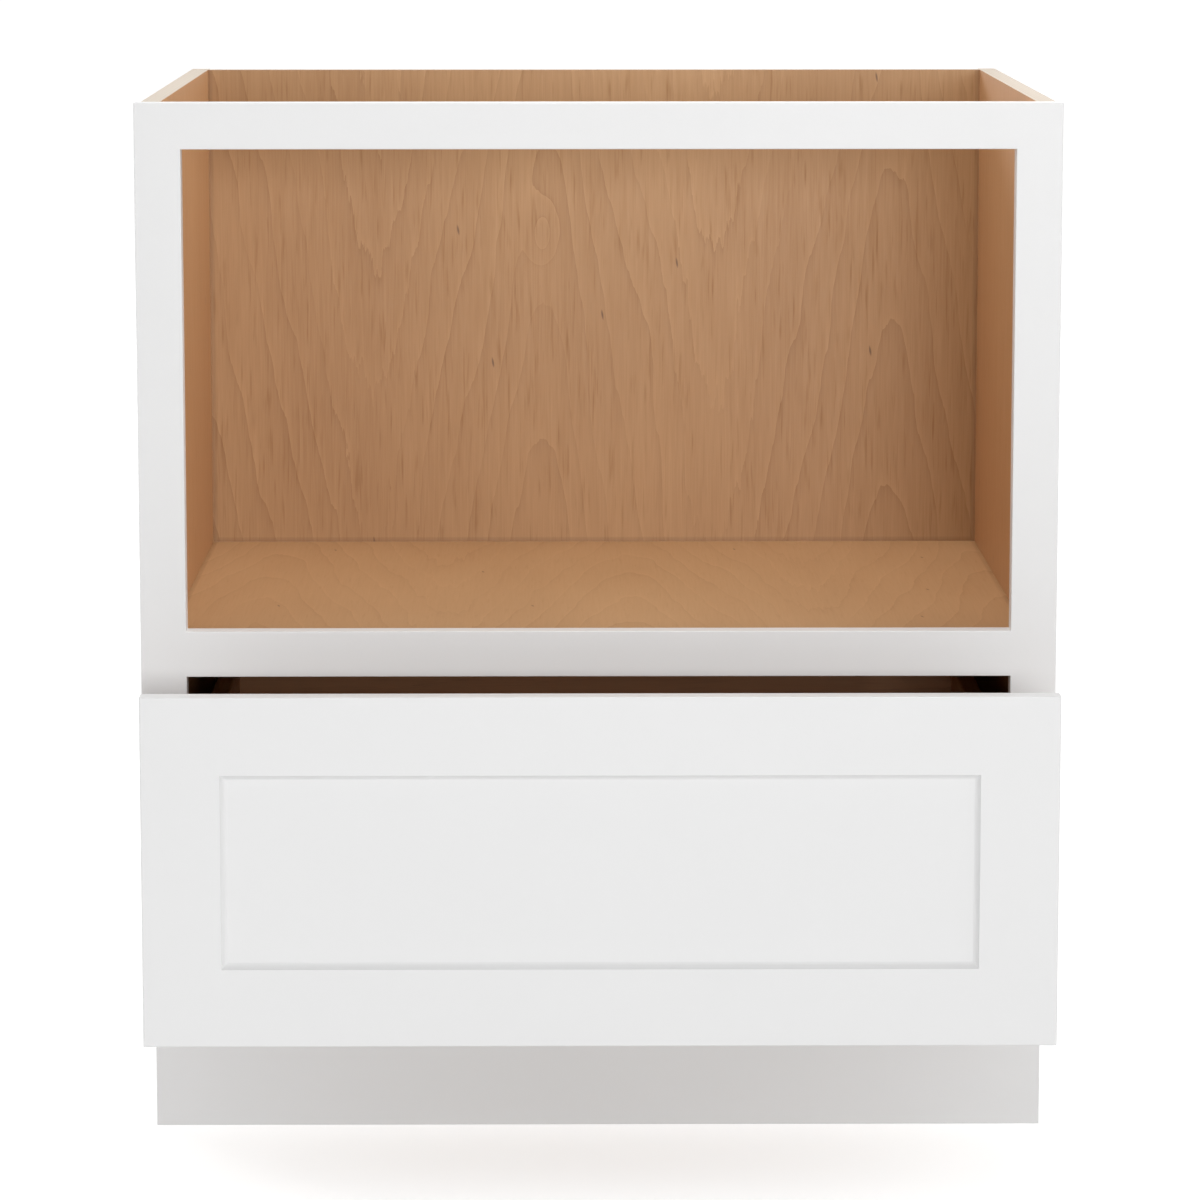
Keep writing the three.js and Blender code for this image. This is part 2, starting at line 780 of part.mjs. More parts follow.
function addDrawerBox(group) {
  const boxHeights = [boxBottomEdge, boxTopEdge];
  const corners = [
    [boxFrontInner, frontRear],
    [boxRearInner, boxRear],
  ];
  for (const { name, side } of hands) {
    const board = block(span(side * boxInner, side * boxOuter), [boxFrontInner, boxRearInner], boxHeights);
    const ends = corners.flatMap(([shoulder, end]) => tails(side, shoulder, end, 0));
    const heel = block(
      span(side * boxInner, side * boxOuter),
      [boxRearInner, boxRear],
      [boxBottomEdge, boxPanelUnder],
    );
    const boxSide = shaped([board, ...ends, heel], [boxPanelRoom()]);
    place(group, `drawer_box_${name}_side`, boxSide, solidMaple());
  }
  const sockets = ([shoulder, end]) => hands.flatMap(({ side }) => tails(side, shoulder, end, tailGap));
  const frontBoard = block([-boxOuter, boxOuter], [frontRear, boxFrontInner], boxHeights);
  const frontHoles = hands.flatMap(({ side }) => [
    ...frontScrewHeights.map((height) =>
      rod(
        "y",
        [frontRear - PAST, boxFrontInner + PAST],
        [side * frontScrewX, 0, height],
        screwRadius + holeGap,
      ),
    ),
    rod(
      "y",
      [boxFrontInner - clipScrewBite - holeGap, boxFrontInner + PAST],
      [side * clipScrewX, 0, clipScrewZ],
      screwRadius + holeGap,
    ),
  ]);
  place(
    group,
    "drawer_box_front",
    shaped([frontBoard], [...sockets(corners[0]), boxPanelRoom(), ...frontHoles]),
    solidMaple(),
  );

  // The box's back stops above the runners at either end, where the sides run on as heels.
  const backBoard = block([-boxOuter, boxOuter], [boxRearInner, boxRear], boxHeights);
  const notches = hands.flatMap(({ side }) => [
    block(
      span(side * (boxInner - notchWidth), side * (boxOuter + PAST)),
      [boxRearInner - PAST, boxRear + PAST],
      [boxBottomEdge - PAST, boxPanelUnder],
    ),
    rod(
      "y",
      [boxRear - hookLength, boxRear + PAST],
      [side * hookCentre[0], 0, hookCentre[2]],
      hookRadius + holeGap,
    ),
  ]);
  place(
    group,
    "drawer_box_back",
    shaped([backBoard], [...sockets(corners[1]), boxPanelRoom(), ...notches]),
    solidMaple(),
  );
  place(group, "drawer_box_bottom", boxPanelRoom(), maplePly());
}

// ---------------------------------------------------------------- Drawer front

// The recess as a solid: a stack of rectangles that shrink along a quarter ellipse from the
// arris at the face down to the square lip, cut out of all four members of the front alike.
function recessRoom() {
  const coveDepth = panelRecess - coveLip;
  const levels = [[-PAST, 0]];
  for (let step = 0; step <= coveSteps; step += 1) {
    const angle = (step / coveSteps) * (Math.PI / 2);
    levels.push([coveDepth * Math.sin(angle), coveWidth * (1 - Math.cos(angle))]);
  }
  levels.push([panelRecess, coveWidth]);
  const corners = levels.flatMap(([depth, inset]) => {
    const [x, y] = [recessHalf - inset, frontFace + depth];
    const [low, high] = [recessBottom + inset, recessTop - inset];
    return [-x, y, low, x, y, low, x, y, high, -x, y, high];
  });
  const faces = [];
  const quad = (a, b, c, d) => faces.push(a, b, c, a, c, d);
  for (let level = 0; level + 1 < levels.length; level += 1) {
    for (let k = 0; k < 4; k += 1) {
      const [near, next] = [level * 4 + k, level * 4 + ((k + 1) % 4)];
      quad(next, near, near + 4, next + 4);
    }
  }
  quad(0, 1, 2, 3);
  const last = (levels.length - 1) * 4;
  quad(last + 3, last + 2, last + 1, last);
  const geometry = new THREE.BufferGeometry();
  geometry.setAttribute("position", new THREE.Float32BufferAttribute(corners, 3));
  geometry.setIndex(faces);
  return geometry;
}

function addDrawerFront(group) {
  const thickness = [frontFace, frontRear];
  const groove = [grooveFront, grooveRear];
  const innerHalf = recessHalf - coveWidth; // where rails meet stiles, at the foot of the cove
  const grooveHalf = innerHalf + panelGrooveDepth;
  const grooveBottom = recessBottom + coveWidth - panelGrooveDepth;
  const grooveTop = recessTop - coveWidth + panelGrooveDepth;
  const heights = [frontBottom, frontTop];
  for (const { name, side } of hands) {
    const board = block(span(side * innerHalf, side * frontHalf), thickness, heights);
    const cuts = [
      block(span(side * (innerHalf - PAST), side * grooveHalf), groove, [
        frontBottom - PAST,
        frontTop + PAST,
      ]),
      recessRoom(),
      ...frontScrewHeights.map((height) =>
        rod(
          "y",
          [frontRear - frontScrewBite - holeGap, frontRear + PAST],
          [side * frontScrewX, 0, height],
          screwRadius + holeGap,
        ),
      ),
    ];
    place(group, `drawer_front_${name}_stile`, shaped([board], cuts), paint());
  }
  const rails = {
    top: [[recessTop - coveWidth, frontTop], [recessTop - coveWidth - PAST, grooveTop]],
    bottom: [[frontBottom, recessBottom + coveWidth], [grooveBottom, recessBottom + coveWidth + PAST]],
  };
  for (const [name, [railHeights, grooveHeights]] of Object.entries(rails)) {
    const tongueHalf = grooveHalf - glueGap;
    const board = block([-innerHalf, innerHalf], thickness, railHeights);
    const tongue = block([-tongueHalf, tongueHalf], groove, railHeights);
    const panelGroove = block([-tongueHalf - PAST, tongueHalf + PAST], groove, grooveHeights);
    const rail = shaped([board, tongue], [panelGroove, recessRoom()]);
    place(group, `drawer_front_${name}_rail`, rail, paint());
  }
  const panel = block(
    [glueGap - grooveHalf, grooveHalf - glueGap],
    groove,
    [grooveBottom + glueGap, grooveTop - glueGap],
  );
  place(group, "drawer_front_centre_panel", panel, paint());
}

// Screws through the box front into the stiles of the drawer front, and the bumpers behind it.
function addDrawerFrontFixings(group) {
  const levels = Object.entries({ lower: frontScrewHeights[0], upper: frontScrewHeights[1] });
  const bumperHeights = Object.entries({
    lower: frontBottom + bumperInset,
    upper: frontTop - bumperInset,
  });
  const rimHeight = bumperThickness * 0.4;
  const crown = [bumperRadius * 0.8, bumperThickness * 0.8];
  const dome = new THREE.LatheGeometry(
    [
      new THREE.Vector2(0, 0),
      new THREE.Vector2(bumperRadius, 0),
      new THREE.Vector2(bumperRadius, rimHeight),
      new THREE.Vector2(...crown),
      new THREE.Vector2(0, bumperThickness),
    ],
    ROUND_SIDES,
  );
  for (const { name, side } of hands) {
    for (const [level, height] of levels) {
      addScrew(
        group,
        `drawer_front_${name}_${level}_screw`,
        [side * frontScrewX, boxFrontInner, height],
        [0, -1, 0],
        boxThickness + frontScrewBite,
      );
    }
    for (const [level, height] of bumperHeights) {
      const bumper = place(group, `${name}_${level}_bumper`, dome.clone(), softPlastic());
      bumper.position.set(side * (frontHalf - bumperInset), frontRear + seatGap, height);
    }
  }
}

// ---------------------------------------------------------------- The whole cabinet

const cabinet = new THREE.Group();
const middleRails = new THREE.Group();
const drawer = new THREE.Group();
addFaceFrame(cabinet);
addCase(cabinet);
addToeKick(cabinet);
addCornerBlocks(cabinet);
addCabinetRunners(cabinet);
addMiddleRails(middleRails);
addDrawerRunners(drawer);
addDrawerBox(drawer);
addDrawerFront(drawer);
addDrawerFrontFixings(drawer);

middleRails.position.y = -drawerPull / 2;
drawer.position.y = -drawerPull;

const group = new THREE.Group();
group.add(cabinet, middleRails, drawer);
group.position.y = -(cabinetDepth + frontFace - drawerPull) / 2;

export default group;
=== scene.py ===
"""A framed microwave base cabinet with one deep drawer, dressed for a studio view.

Metres, +Z up, the front facing -Y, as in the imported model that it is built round.
"""

import math

import bmesh
import bpy
import numpy as np
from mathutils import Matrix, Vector


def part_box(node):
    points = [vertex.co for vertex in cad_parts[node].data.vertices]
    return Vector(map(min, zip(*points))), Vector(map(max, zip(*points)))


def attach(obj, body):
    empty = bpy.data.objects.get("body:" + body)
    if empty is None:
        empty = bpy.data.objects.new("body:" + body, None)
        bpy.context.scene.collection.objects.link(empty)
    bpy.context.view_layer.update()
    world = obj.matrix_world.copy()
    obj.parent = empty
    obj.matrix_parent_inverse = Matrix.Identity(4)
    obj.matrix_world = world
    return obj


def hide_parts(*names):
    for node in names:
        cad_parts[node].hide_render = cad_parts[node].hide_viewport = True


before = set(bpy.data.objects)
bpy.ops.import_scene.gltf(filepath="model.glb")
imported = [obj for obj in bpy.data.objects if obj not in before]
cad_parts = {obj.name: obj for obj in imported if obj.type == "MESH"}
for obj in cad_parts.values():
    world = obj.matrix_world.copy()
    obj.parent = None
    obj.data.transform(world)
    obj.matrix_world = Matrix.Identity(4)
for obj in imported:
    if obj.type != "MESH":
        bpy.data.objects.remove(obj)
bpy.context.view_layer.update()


# ------------------------------------------------------------------ Camera
# A long lens four metres in front of the cabinet, three centimetres left of its middle and
# above its top, tipped down until the toe kick and the rear corners both stand in the picture.

camera_place = (-0.0308, -4.336, 1.0921)
camera_tip = math.radians(8.663)
camera_turn = math.radians(0.4425)
film_width = 36  # millimetres, as is the focal length
focal_length = 150.43
farthest_seen = 200

lens = bpy.data.cameras.new("camera")
lens.sensor_width = film_width
lens.lens = focal_length
lens.clip_end = farthest_seen
camera = bpy.data.objects.new("camera", lens)
camera.location = camera_place
camera.rotation_euler = (math.pi / 2 - camera_tip, 0, -camera_turn)
bpy.context.scene.collection.objects.link(camera)
bpy.context.scene.camera = camera
bpy.context.scene.view_settings.view_transform = "Standard"


# ------------------------------------------------------------------ Studio
# A pale floor without an edge and a white room round it, brighter towards its two side walls and
# most so on the right. Soft lamps: a low one far in front that reaches under the drawer, a small
# one over the open top for the compartment, and one behind for the back and the left side.


def feed(tree, node, inputs):
    """Gives inputs of a node, by number or name, a constant or the socket that feeds them."""
    for key, value in inputs.items():
        if isinstance(value, bpy.types.NodeSocket):
            tree.links.new(value, node.inputs[key])
        else:
            node.inputs[key].default_value = value


def shade(tree, kind, *values, named=None, **options):
    """A new shader node. ``values`` fill its inputs in order and ``named`` its inputs by number
    or name. ``options`` are the node's own settings."""
    made = tree.nodes.new("ShaderNode" + kind)
    for option, value in options.items():
        setattr(made, option, value)
    feed(tree, made, dict(enumerate(values)) | (named or {}))
    return made


def calc(tree, operation, *values, clamp=False):
    """The result of one Math node."""
    return shade(tree, "Math", *values, operation=operation, use_clamp=clamp).outputs[0]


def blended(tree, share, first, second, kind="RGBA"):
    """Two colours, or with ``kind`` FLOAT two values, mixed by a share of the second."""
    first_input, output = (6, 2) if kind == "RGBA" else (2, 0)
    named = {first_input: first, first_input + 1: second}
    return shade(tree, "Mix", share, data_type=kind, named=named).outputs[output]


def blank_tree(owner):
    """The emptied node tree of a material or world."""
    owner.use_nodes = True
    owner.node_tree.nodes.clear()
    return owner.node_tree


def surfaced(tree, inputs):
    """Ends a material's tree with its shader, whose ``inputs`` are set or fed by name."""
    surface = shade(tree, "BsdfPrincipled", named=inputs)
    shade(tree, "OutputMaterial", surface.outputs[0])


def seen_directly(tree):
    """1 for what the camera sees itself, in a mirror or through glass, and 0 for light."""
    path = shade(tree, "LightPath").outputs
    mirrored = calc(tree, "MAXIMUM", path["Is Glossy Ray"], path["Is Transmission Ray"])
    return calc(tree, "MAXIMUM", path["Is Camera Ray"], mirrored)


white = (1, 1, 1, 1)
room_level = 0.255  # the light that comes from every side
room_right = 0.84  # how much more comes from the far right
room_left = 0.56  # and from the far left

room = bpy.data.worlds.new("white_room")
bpy.context.scene.world = room
tree = blank_tree(room)
sideways = shade(tree, "SeparateXYZ", shade(tree, "TexCoord").outputs["Generated"]).outputs[0]
from_right = calc(tree, "MULTIPLY", calc(tree, "MAXIMUM", sideways, 0), room_right)
from_left = calc(tree, "MULTIPLY", calc(tree, "MINIMUM", sideways, 0), -room_left)
level = calc(tree, "ADD", calc(tree, "ADD", from_right, from_left), room_level)
level = blended(tree, seen_directly(tree), level, 1.0, "FLOAT")
glow = shade(tree, "Background", white, level)
shade(tree, "OutputWorld", glow.outputs[0])

floor_size = 80
floor_white = 0.88
floor_lift = 0.56  # how much it glows, only where it is seen directly

half = floor_size / 2
floor_mesh = bpy.data.meshes.new("floor")
floor_mesh.from_pydata(
    [(-half, -half, 0), (half, -half, 0), (half, half, 0), (-half, half, 0)], [], [(0, 1, 2, 3)]
)
floor = bpy.data.objects.new("floor", floor_mesh)
bpy.context.scene.collection.objects.link(floor)
floor_material = bpy.data.materials.new("pale_floor")
tree = blank_tree(floor_material)
lift = calc(tree, "MULTIPLY", seen_directly(tree), floor_lift)
surfaced(
    tree,
    {
        "Base Color": (floor_white, floor_white, floor_white, 1),
        "Roughness": 1.0,
        "Specular IOR Level": 0.0,
        "Emission Color": white,
        "Emission Strength": lift,
    },
)
floor_mesh.materials.append(floor_material)


lamp_aim = Vector((0, 0, 0.5))


def soft_lamp(name, place, width, height, power):
    """An oblong area lamp at ``place``, turned towards the cabinet and out of the picture."""
    lamp = bpy.data.lights.new(name, "AREA")
    lamp.shape = "RECTANGLE"
    lamp.size = width
    lamp.size_y = height
    lamp.energy = power
    holder = bpy.data.objects.new(name, lamp)
    holder.location = place
    holder.rotation_euler = (lamp_aim - Vector(place)).to_track_quat("-Z", "Y").to_euler()
    holder.visible_camera = False
    bpy.context.scene.collection.objects.link(holder)


soft_lamp("front_lamp", place=(1.0, -8.0, 1.3), width=2.4, height=1.2, power=224)
soft_lamp("compartment_lamp", place=(0.1, 0.05, 1.75), width=0.9, height=0.4, power=8.5)
soft_lamp("rear_lamp", place=(-4.0, 6.0, 2.2), width=2.4, height=1.2, power=130)


# ------------------------------------------------------------------ Face frame
# Five painted hardwood members, 38 mm wide and 19 mm thick, tenoned, glued and sanded flush
# before painting, so no joint shows. Their arrises were eased by hand after assembly.

frame_ease = 0.0008
ease_steps = 3
hard_edge = math.radians(40)  # faces that meet more sharply than this keep their edge
paint_white = 0.80
paint_mottle = 0.012  # how far its white wanders
paint_rough = 0.36
paint_rough_spread = 0.08
paint_bump = 0.12
peel_fine = (420, 420, 420)  # dimples a metre along each axis
peel_broad = (9, 9, 9)
peel_broad_height = 0.6  # beside a dimple's 1
skin_depth = 0.0002
satin = 0.4  # the specular level of a satin coat


def srgb(red, green, blue):
    """A colour given as three numbers up to 255, in linear light."""
    share = np.array([red, green, blue]) / 255
    linear = np.where(share <= 0.04045, share / 12.92, ((share + 0.055) / 1.055) ** 2.4)
    return (*linear.tolist(), 1.0)


def new_group(name, inputs, outputs):
    """A shader node group with named inputs and outputs, and the two nodes at its ends."""
    tree = bpy.data.node_groups.new(name, "ShaderNodeTree")
    for way, sockets in (("INPUT", inputs), ("OUTPUT", outputs)):
        for socket, kind in sockets.items():
            tree.interface.new_socket(name=socket, in_out=way, socket_type="NodeSocket" + kind)
    return tree, tree.nodes.new("NodeGroupInput").outputs, tree.nodes.new("NodeGroupOutput").inputs


def stretched_noise(tree, vector, stretch, detail):
    """Noise with its own number of features a metre along each axis."""
    scaled = shade(tree, "VectorMath", vector, stretch, operation="MULTIPLY").outputs[0]
    named = {"Vector": scaled, "Scale": 1.0, "Detail": detail}
    return shade(tree, "TexNoise", named=named).outputs[0]


def orange_peel_group():
    """The skin of a sprayed or moulded surface: a fine dimple over a broad unevenness."""
    tree, given, result = new_group(
        "orange_peel", {"Vector": "Vector"}, {"Height": "Float", "Mottle": "Float"}
    )
    fine = stretched_noise(tree, given["Vector"], peel_fine, 2)
    broad = stretched_noise(tree, given["Vector"], peel_broad, 3)
    tree.links.new(calc(tree, "MULTIPLY_ADD", broad, peel_broad_height, fine), result["Height"])
    tree.links.new(broad, result["Mottle"])
    return tree


orange_peel = orange_peel_group()


def place_group(tree, group, **values):
    """A group placed in a material, with its inputs set or fed."""
    made = tree.nodes.new("ShaderNodeGroup")
    made.node_tree = group
    feed(tree, made, values)
    return made.outputs


def bumped(tree, height, strength, distance):
    """The normal of a surface raised by ``height``."""
    named = {"Height": height, "Strength": strength, "Distance": distance}
    return shade(tree, "Bump", named=named).outputs[0]


def white_paint_material():
    """Satin white lacquer: faint orange peel, and a mottle too small to see as colour."""
    material = bpy.data.materials.new("white_paint")
    tree = blank_tree(material)
    where = shade(tree, "TexCoord").outputs["Object"]
    skin = place_group(tree, orange_peel, Vector=where)
    least = paint_white - paint_mottle / 2
    tone = calc(tree, "MULTIPLY_ADD", skin["Mottle"], paint_mottle, least)
    rough = calc(tree, "MULTIPLY_ADD", skin["Mottle"], paint_rough_spread, paint_rough)
    surfaced(
        tree,
        {
            "Base Color": shade(tree, "CombineColor", tone, tone, tone).outputs[0],
            "Roughness": rough,
            "Specular IOR Level": satin,
            "Normal": bumped(tree, skin["Height"], paint_bump, skin_depth),
        },
    )
    return material


white_paint = white_paint_material()


def finished(name, mesh, material, body, node):
    """Makes a finished piece of a mesh: its object, smooth faces with hard edges, its finish and
    the body that it rides on. The node that it stands for is hidden."""
    mesh.materials.clear()
    mesh.materials.append(material)
    mesh.polygons.foreach_set("use_smooth", np.ones(len(mesh.polygons), bool))
    mesh.set_sharp_from_angle(angle=hard_edge)
    piece = bpy.data.objects.new(name, mesh)
    bpy.context.scene.collection.objects.link(piece)
    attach(piece, body)
    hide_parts(node)
    return piece


def even_normals(piece):
    """Gives each corner the normal of the largest face that meets there, so flats stay flat."""
    modifier = piece.modifiers.new("even_normals", "WEIGHTED_NORMAL")
    modifier.keep_sharp = True


def eased_lines(low, high, edges, depths):
    """Grid lines from ``low`` to ``high``: the ends, and on both sides of each edge its depths."""
    steps = np.concatenate([-depths, depths])
    lines = (np.asarray(edges)[:, None] + steps[None, :]).ravel()
    lines = np.concatenate([lines[(lines > low) & (lines < high)], [low, high]])
    return np.unique(np.round(lines, 7))


def round_depths(radius, steps):
    """How far in from an edge the lines of its quarter round lie: r (1 - cos a)."""
    return radius * (1 - np.cos(np.linspace(0, math.pi / 2, steps + 1)))


def quarter_round(distance, radius):
    """How far a rounded edge falls away at a distance in from it: r - sqrt(r^2 - (r - d)^2)."""
    inside = radius - np.clip(distance, 0, radius)
    return radius - np.sqrt(radius**2 - inside**2)


def slab(name, x_lines, z_lines, front, rear):
    """A board whose faces are the height fields y = front(x, z) and y = rear(x, z) over a grid,
    closed by walls round its edges. Each cell is split along its steeper diagonal, so that a
    mitre falls on an edge."""
    x, z = np.meshgrid(x_lines, z_lines, indexing="ij")
    count = x.size
    index = np.arange(count).reshape(x.shape)
    corners = (index[:-1, :-1], index[1:, :-1], index[1:, 1:], index[:-1, 1:])
    a, b, c, d = (corner.ravel() for corner in corners)
    faces = []
    for height, first, flipped in ((front(x, z), 0, False), (rear(x, z), count, True)):
        y = height.ravel()
        rising = np.abs(y[a] - y[c]) >= np.abs(y[b] - y[d])
        lower = np.where(rising, c, d)
        upper = np.where(rising, a, b)
        cells = np.concatenate([np.stack([a, b, lower], 1), np.stack([upper, c, d], 1)]) + first
        faces += (cells[:, ::-1] if flipped else cells).tolist()
    loop = np.concatenate([index[:-1, 0], index[-1, :-1], index[:0:-1, -1], index[0, :0:-1]])
    after = np.roll(loop, -1)
    faces += np.stack([loop, loop + count, after + count, after], 1).tolist()
    near = np.stack([x, front(x, z), z], -1).reshape(-1, 3)
    far = np.stack([x, rear(x, z), z], -1).reshape(-1, 3)
    mesh = bpy.data.meshes.new(name)
    mesh.from_pydata(np.concatenate([near, far]).tolist(), [], faces)
    return mesh


stile_low, stile_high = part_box("face_frame_right_stile")
rail_boxes = {level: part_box(f"face_frame_{level}_rail") for level in ("top", "middle", "bottom")}
frame_half = stile_high.x
opening_half = stile_low.x
frame_front, frame_rear = stile_low.y, stile_high.y
frame_heights = (stile_low.z, stile_high.z)
frame_openings = (
    (rail_boxes["bottom"][1].z, rail_boxes["middle"][0].z),
    (rail_boxes["middle"][1].z, rail_boxes["top"][0].z),
)


def frame_edge_distance(x, z):
    """From a point of the frame to its nearest free arris: the outer rectangle or an opening."""
    distance = np.minimum.reduce(
        [frame_half - np.abs(x), z - frame_heights[0], frame_heights[1] - z]
    )
    for low, high in frame_openings:
        across = np.maximum(np.abs(x) - opening_half, 0)
        along = np.maximum.reduce([low - z, z - high, np.zeros_like(z)])
        distance = np.minimum(distance, np.hypot(across, along))
    return distance


def frame_face(x, z):
    """The front of the frame, falling away in a quarter round at its free arrises."""
    return frame_front + quarter_round(frame_edge_distance(x, z), frame_ease)


def frame_back(x, z):
    """The back of the frame, with the same rounds the other way."""
    return frame_rear - quarter_round(frame_edge_distance(x, z), frame_ease)


def frame_member(name, node, x_span, z_span):
    """One member of the frame, cut out of the frame's common faces."""
    depths = round_depths(frame_ease, ease_steps)
    verticals = [-frame_half, -opening_half, opening_half, frame_half]
    levels = [*frame_heights, *(level for opening in frame_openings for level in opening)]
    mesh = slab(
        name,
        eased_lines(*x_span, verticals, depths),
        eased_lines(*z_span, levels, depths),
        frame_face,
        frame_back,
    )
    even_normals(finished(name, mesh, white_paint, "cabinet", node))


frame_member("frame_stile_left", "face_frame_left_stile", (-frame_half, -opening_half), frame_heights)
frame_member("frame_stile_right", "face_frame_right_stile", (opening_half, frame_half), frame_heights)
for level, (low, high) in rail_boxes.items():
    frame_member(
        f"frame_rail_{level}",
        f"face_frame_{level}_rail",
        (-opening_half, opening_half),
        (low.z, high.z),
    )


# ------------------------------------------------------------------ Side panels
# Plywood 15.9 mm thick: clear-coated maple veneer inside, white paint outside, and pale cut
# edges in which the plies show. The face frame is glued to their front edges.

ply_step = 0.00145  # the thickness of a ply
ply_pale = srgb(208, 198, 186)
ply_deep = srgb(190, 175, 157)
ply_specks = (260, 260, 260)  # a metre along each axis
ply_tone = 0.22  # how far one ply may be deeper than another
end_grain_tone = 0.34
speck_tone = 0.4

# The figure's noises: how many features a metre each has across, through and along the grain.
bends = (3.2, 3.2, 1.4)
feathers = (230, 230, 17)
jags = (60, 60, 17)
wanders = (13, 13, 4)
fades = (9, 9, 6)
hairs = (640, 640, 20)
fibres = (190, 190, 9)
drifts = (7, 7, 2.6)
dashes = (380, 380, 24)

# How far the growth lines are pushed: in metres by the bends, otherwise in growth lines.
bend_push = 0.06
feather_push = 0.1
trough_push = 0.7  # what the feathers push more in a trough
jag_push = 0.3
wander_push = 1.5
knot_push = 2.1
knot_falloff = (80, 0, 36)

# How much each thing changes the tone, which is 0 for the deep colour and 1 for the pale one.
middle_tone = 0.57
line_end_tone = -0.25
line_slope_tone = -0.08
line_start_tone = 0.19
line_least = 0.12  # of these, where a line has all but faded
line_rest = 0.76
fade_swing = 3.2
fade_shift = 0.1
hair_tone = 0.45
fibre_tone = 0.3
dash_tone = -1.6
dash_least = 0.1
drift_tone = 0.6

wood_rough = 0.44
streak_rough = -0.25
fleck_cells = 5.2  # a metre, with a fleck in each at the most
fleck_slant = 0.16
fleck_half_width = 0.0012
fleck_half_length = 0.0055
fleck_strength = 0.75
fleck_colour = (0.09, 0.04, 0.018, 1)


def centred_noise(tree, vector, stretch, detail):
    """The same noise about 0, between a half either way."""
    return calc(tree, "SUBTRACT", stretched_noise(tree, vector, stretch, detail), 0.5)


